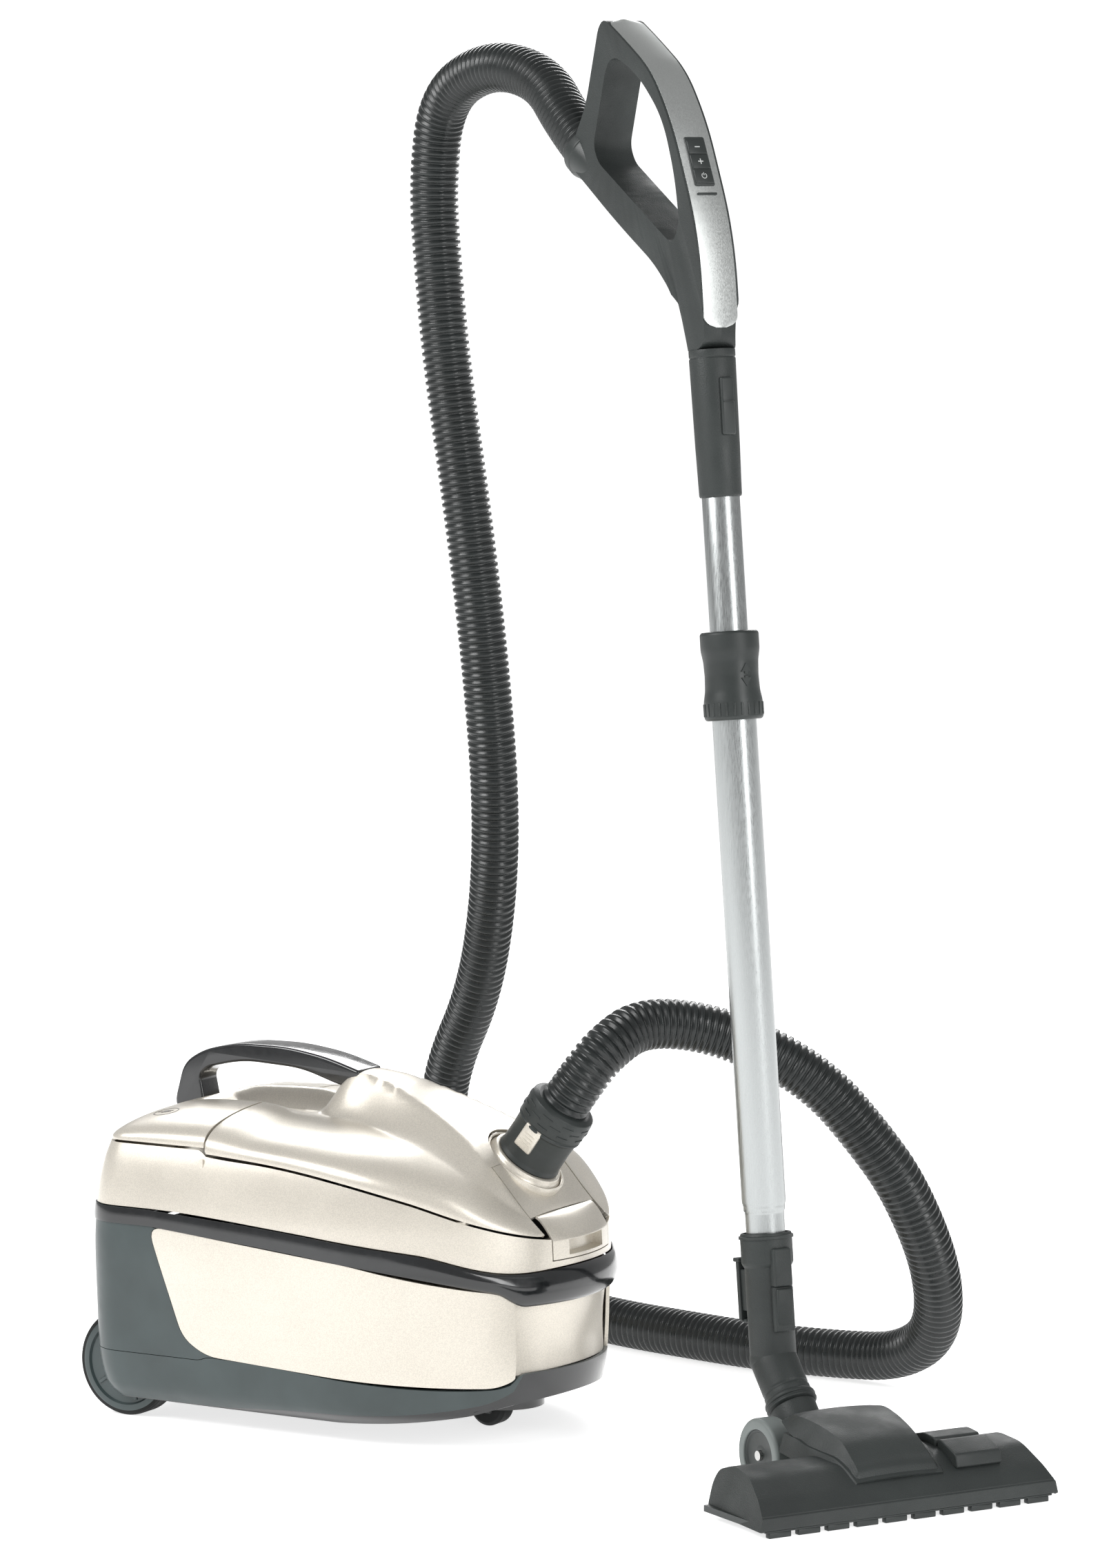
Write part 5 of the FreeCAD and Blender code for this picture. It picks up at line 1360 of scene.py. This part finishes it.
def tool_underside():
    """Front skirt with its teeth, and the bristle strip."""
    strip = box((-8, -0.2), (-135, 135), (4.5, 6), 0.3, 1)
    teeth = [box((-5.8, 0), (27 * index - 121.5 - 10.25, 27 * index - 121.5 + 10.25), (0, 4.7), 0.8, 2)
             for index in range(10)]
    finish_piece("front_skirt", joined(strip, *teeth), "moulded", "head", ["front_skirt"],
                 slot="rubber", at=TOOL)
    holder = box((-60, -52), (-121, 121), (10, 18), 0.6, 2)
    parts = [holder]
    count = sizes().tuft_count
    for index in range(count):
        for row in (-58.2, -53.8):
            tuft = bmesh.new()
            bmesh.ops.create_cone(tuft, cap_ends=True, segments=6, radius1=1.35, radius2=0.9, depth=4.4)
            y = -118 + 236 * (index + (0.5 if row > -56 else 0)) / count
            parts.append(moved(tuft, Matrix.Translation((row, y, 8.6))))
    finish_piece("bristle_strip", joined(*parts), "bristle", "bristles", ["bristle_strip"], at=TOOL)


# ---------------------------------------------------------------- stage

def area_light(name, spot, target, size, power, colour=(1, 1, 1)):
    light = bpy.data.lights.new(name, "AREA")
    light.shape = "RECTANGLE"
    light.size, light.size_y = size
    light.energy = power
    light.color = colour
    holder = bpy.data.objects.new(name, light)
    holder.location = spot
    way = Vector(target) - Vector(spot)
    holder.rotation_euler = way.to_track_quat("-Z", "Y").to_euler()
    bpy.context.scene.collection.objects.link(holder)


def stage():
    """Pale floor, soft studio light and the camera."""
    bm = bmesh.new()
    bmesh.ops.create_circle(bm, cap_ends=True, radius=60, segments=96)
    mesh = bpy.data.meshes.new("floor")
    bm.to_mesh(mesh)
    bm.free()
    floor = bpy.data.objects.new("floor", mesh)
    bpy.context.scene.collection.objects.link(floor)
    paper = Finish("stage_floor", (0.86, 0.86, 0.86), 0.85, specular=0.1)
    paper.shaded(paper.noise(3, 2), 0.995, 1.005)
    shader = paper.material.node_tree.nodes["Principled BSDF"]
    shader.inputs["Emission Color"].default_value = (1, 1, 1, 1)
    shader.inputs["Emission Strength"].default_value = 0.72
    mesh.materials.append(paper.material)
    world = bpy.data.worlds.new("studio")
    bpy.context.scene.world = world
    world.use_nodes = True
    background = world.node_tree.nodes["Background"]
    background.inputs["Color"].default_value = (1, 1, 1, 1)
    nodes, links = world.node_tree.nodes, world.node_tree.links
    seen = nodes.new("ShaderNodeLightPath")
    strength = nodes.new("ShaderNodeMapRange")
    strength.inputs["To Min"].default_value = 0.42
    strength.inputs["To Max"].default_value = 1.2
    links.new(seen.outputs["Is Camera Ray"], strength.inputs["Value"])
    links.new(strength.outputs["Result"], background.inputs["Strength"])
    bpy.context.scene.view_settings.view_transform = "Standard"
    area_light("key_softbox", (-1.9, -2.6, 2.9), (0, 0, 0.35), (2.2, 1.6), 95)
    area_light("side_softbox", (3.0, -0.9, 1.7), (0.1, 0, 0.5), (0.8, 2.6), 42)
    area_light("back_softbox", (-1.4, 2.8, 2.2), (0, 0, 0.5), (2.4, 1.2), 60)
    camera = bpy.data.cameras.new("camera")
    camera.lens = 146
    camera.sensor_width = 36
    holder = bpy.data.objects.new("camera", camera)
    holder.location = (2.579, -4.471, 1.114)
    holder.rotation_euler = (math.radians(83.8), 0, math.radians(30))
    bpy.context.scene.collection.objects.link(holder)
    bpy.context.scene.camera = holder


# ---------------------------------------------------------------- operators

class VACUUM_OT_finishes(bpy.types.Operator):
    """Mix the paints, plastics and metals"""
    bl_idname = "vacuum.finishes"
    bl_label = "Finishes"

    def execute(self, context):
        mix_finishes()
        return {"FINISHED"}


class VACUUM_OT_stage(bpy.types.Operator):
    """Set up the floor, the lights and the camera"""
    bl_idname = "vacuum.stage"
    bl_label = "Stage"

    def execute(self, context):
        stage()
        return {"FINISHED"}


class VACUUM_OT_hose(bpy.types.Operator):
    """Lay the ribbed hose along its line"""
    bl_idname = "vacuum.hose"
    bl_label = "Suction hose"

    def execute(self, context):
        suction_hose()
        return {"FINISHED"}


class VACUUM_OT_base(bpy.types.Operator):
    """Build the lower tray with its wheel wells"""
    bl_idname = "vacuum.base"
    bl_label = "Base tray"

    def execute(self, context):
        base_tray()
        return {"FINISHED"}


class VACUUM_OT_rear(bpy.types.Operator):
    """Build the slate shell round the tail"""
    bl_idname = "vacuum.rear"
    bl_label = "Rear shell"

    def execute(self, context):
        rear_shell()
        return {"FINISHED"}


class VACUUM_OT_housing(bpy.types.Operator):
    """Build the housing under the lid"""
    bl_idname = "vacuum.housing"
    bl_label = "Upper housing"

    def execute(self, context):
        upper_housing()
        return {"FINISHED"}


class VACUUM_OT_panels(bpy.types.Operator):
    """Build the two side panels"""
    bl_idname = "vacuum.panels"
    bl_label = "Side panels"

    def execute(self, context):
        side_panels()
        return {"FINISHED"}


class VACUUM_OT_cover(bpy.types.Operator):
    """Build the dished cover at the nose"""
    bl_idname = "vacuum.cover"
    bl_label = "Front cover"

    def execute(self, context):
        front_cover()
        return {"FINISHED"}


class VACUUM_OT_band(bpy.types.Operator):
    """Build the gloss band"""
    bl_idname = "vacuum.band"
    bl_label = "Bumper band"

    def execute(self, context):
        bumper_band()
        return {"FINISHED"}


class VACUUM_OT_lid(bpy.types.Operator):
    """Build the crowned lid"""
    bl_idname = "vacuum.lid"
    bl_label = "Bag lid"

    def execute(self, context):
        bag_lid()
        return {"FINISHED"}


class VACUUM_OT_surround(bpy.types.Operator):
    """Build the plate round the inlet"""
    bl_idname = "vacuum.surround"
    bl_label = "Inlet surround"

    def execute(self, context):
        inlet_surround()
        return {"FINISHED"}


class VACUUM_OT_latch(bpy.types.Operator):
    """Build the lid latch"""
    bl_idname = "vacuum.latch"
    bl_label = "Latch"

    def execute(self, context):
        latch()
        return {"FINISHED"}


class VACUUM_OT_pedals(bpy.types.Operator):
    """Build the two foot pedals"""
    bl_idname = "vacuum.pedals"
    bl_label = "Foot pedals"

    def execute(self, context):
        pedals()
        return {"FINISHED"}


class VACUUM_OT_carry(bpy.types.Operator):
    """Build the arched carry handle"""
    bl_idname = "vacuum.carry"
    bl_label = "Carry handle"

    def execute(self, context):
        carry_handle()
        return {"FINISHED"}


class VACUUM_OT_wheels(bpy.types.Operator):
    """Build the rear wheels"""
    bl_idname = "vacuum.wheels"
    bl_label = "Rear wheels"

    def execute(self, context):
        rear_wheels()
        return {"FINISHED"}


class VACUUM_OT_inlet(bpy.types.Operator):
    """Build the collar, cuff and release buttons"""
    bl_idname = "vacuum.inlet"
    bl_label = "Suction inlet"

    def execute(self, context):
        suction_inlet()
        return {"FINISHED"}


class VACUUM_OT_bag(bpy.types.Operator):
    """Build the paper dust bag"""
    bl_idname = "vacuum.bag"
    bl_label = "Dust bag"

    def execute(self, context):
        dust_bag()
        return {"FINISHED"}


class VACUUM_OT_inner(bpy.types.Operator):
    """Give the kept frame parts their finishes"""
    bl_idname = "vacuum.inner"
    bl_label = "Inner parts"

    def execute(self, context):
        dress_inner_parts()
        return {"FINISHED"}


class VACUUM_OT_grip(bpy.types.Operator):
    """Build the grip, its cover and keys"""
    bl_idname = "vacuum.grip"
    bl_label = "Handle grip"

    def execute(self, context):
        handle_grip()
        return {"FINISHED"}


class VACUUM_OT_ends(bpy.types.Operator):
    """Build the hose socket and the sleeve"""
    bl_idname = "vacuum.ends"
    bl_label = "Handle ends"

    def execute(self, context):
        handle_ends()
        return {"FINISHED"}


class VACUUM_OT_tubes(bpy.types.Operator):
    """Build the telescopic tubes and the slide collar"""
    bl_idname = "vacuum.tubes"
    bl_label = "Wand tubes"

    def execute(self, context):
        wand_tubes()
        return {"FINISHED"}


class VACUUM_OT_neck(bpy.types.Operator):
    """Build the neck, clip and lock button"""
    bl_idname = "vacuum.neck"
    bl_label = "Tool neck"

    def execute(self, context):
        tool_neck()
        return {"FINISHED"}


class VACUUM_OT_elbow(bpy.types.Operator):
    """Build the turning elbow"""
    bl_idname = "vacuum.elbow"
    bl_label = "Elbow"

    def execute(self, context):
        elbow()
        return {"FINISHED"}


class VACUUM_OT_rollers(bpy.types.Operator):
    """Build the floor tool's rollers"""
    bl_idname = "vacuum.rollers"
    bl_label = "Tool rollers"

    def execute(self, context):
        tool_rollers()
        return {"FINISHED"}


class VACUUM_OT_tool(bpy.types.Operator):
    """Build the floor tool's cover and hood"""
    bl_idname = "vacuum.tool"
    bl_label = "Tool cover"

    def execute(self, context):
        tool_cover()
        return {"FINISHED"}


class VACUUM_OT_rocker(bpy.types.Operator):
    """Build the bristle rocker"""
    bl_idname = "vacuum.rocker"
    bl_label = "Rocker"

    def execute(self, context):
        rocker()
        return {"FINISHED"}


class VACUUM_OT_underside(bpy.types.Operator):
    """Build the skirt and the bristles"""
    bl_idname = "vacuum.underside"
    bl_label = "Tool underside"

    def execute(self, context):
        tool_underside()
        return {"FINISHED"}


OPERATORS = (
    VACUUM_OT_finishes,
    VACUUM_OT_stage,
    VACUUM_OT_hose,
    VACUUM_OT_base,
    VACUUM_OT_rear,
    VACUUM_OT_housing,
    VACUUM_OT_panels,
    VACUUM_OT_cover,
    VACUUM_OT_band,
    VACUUM_OT_lid,
    VACUUM_OT_surround,
    VACUUM_OT_latch,
    VACUUM_OT_pedals,
    VACUUM_OT_carry,
    VACUUM_OT_wheels,
    VACUUM_OT_inlet,
    VACUUM_OT_bag,
    VACUUM_OT_inner,
    VACUUM_OT_grip,
    VACUUM_OT_ends,
    VACUUM_OT_tubes,
    VACUUM_OT_neck,
    VACUUM_OT_elbow,
    VACUUM_OT_rollers,
    VACUUM_OT_tool,
    VACUUM_OT_rocker,
    VACUUM_OT_underside,
)


class VACUUM_PT_build(bpy.types.Panel):
    """Lists the steps that build the vacuum cleaner."""
    bl_idname = "VACUUM_PT_build"
    bl_label = "Vacuum cleaner"
    bl_space_type = "VIEW_3D"
    bl_region_type = "UI"
    bl_category = "Vacuum"

    def draw(self, context):
        layout = self.layout
        for settings in (context.scene.vacuum_sizes, context.scene.vacuum_colours):
            for name in settings.__annotations__:
                layout.prop(settings, name)
        for entry in OPERATORS:
            layout.operator(entry.bl_idname)


CLASSES = (BodySizes, FinishColours, *OPERATORS, VACUUM_PT_build)


def register():
    for entry in CLASSES:
        bpy.utils.register_class(entry)
    bpy.types.Scene.vacuum_sizes = PointerProperty(type=BodySizes)
    bpy.types.Scene.vacuum_colours = PointerProperty(type=FinishColours)


def unregister():
    del bpy.types.Scene.vacuum_colours
    del bpy.types.Scene.vacuum_sizes
    for entry in reversed(CLASSES):
        bpy.utils.unregister_class(entry)


def main():
    register()
    for entry in OPERATORS:
        getattr(bpy.ops.vacuum, entry.bl_idname.split(".")[1])()


if __name__ == "__main__":
    main()
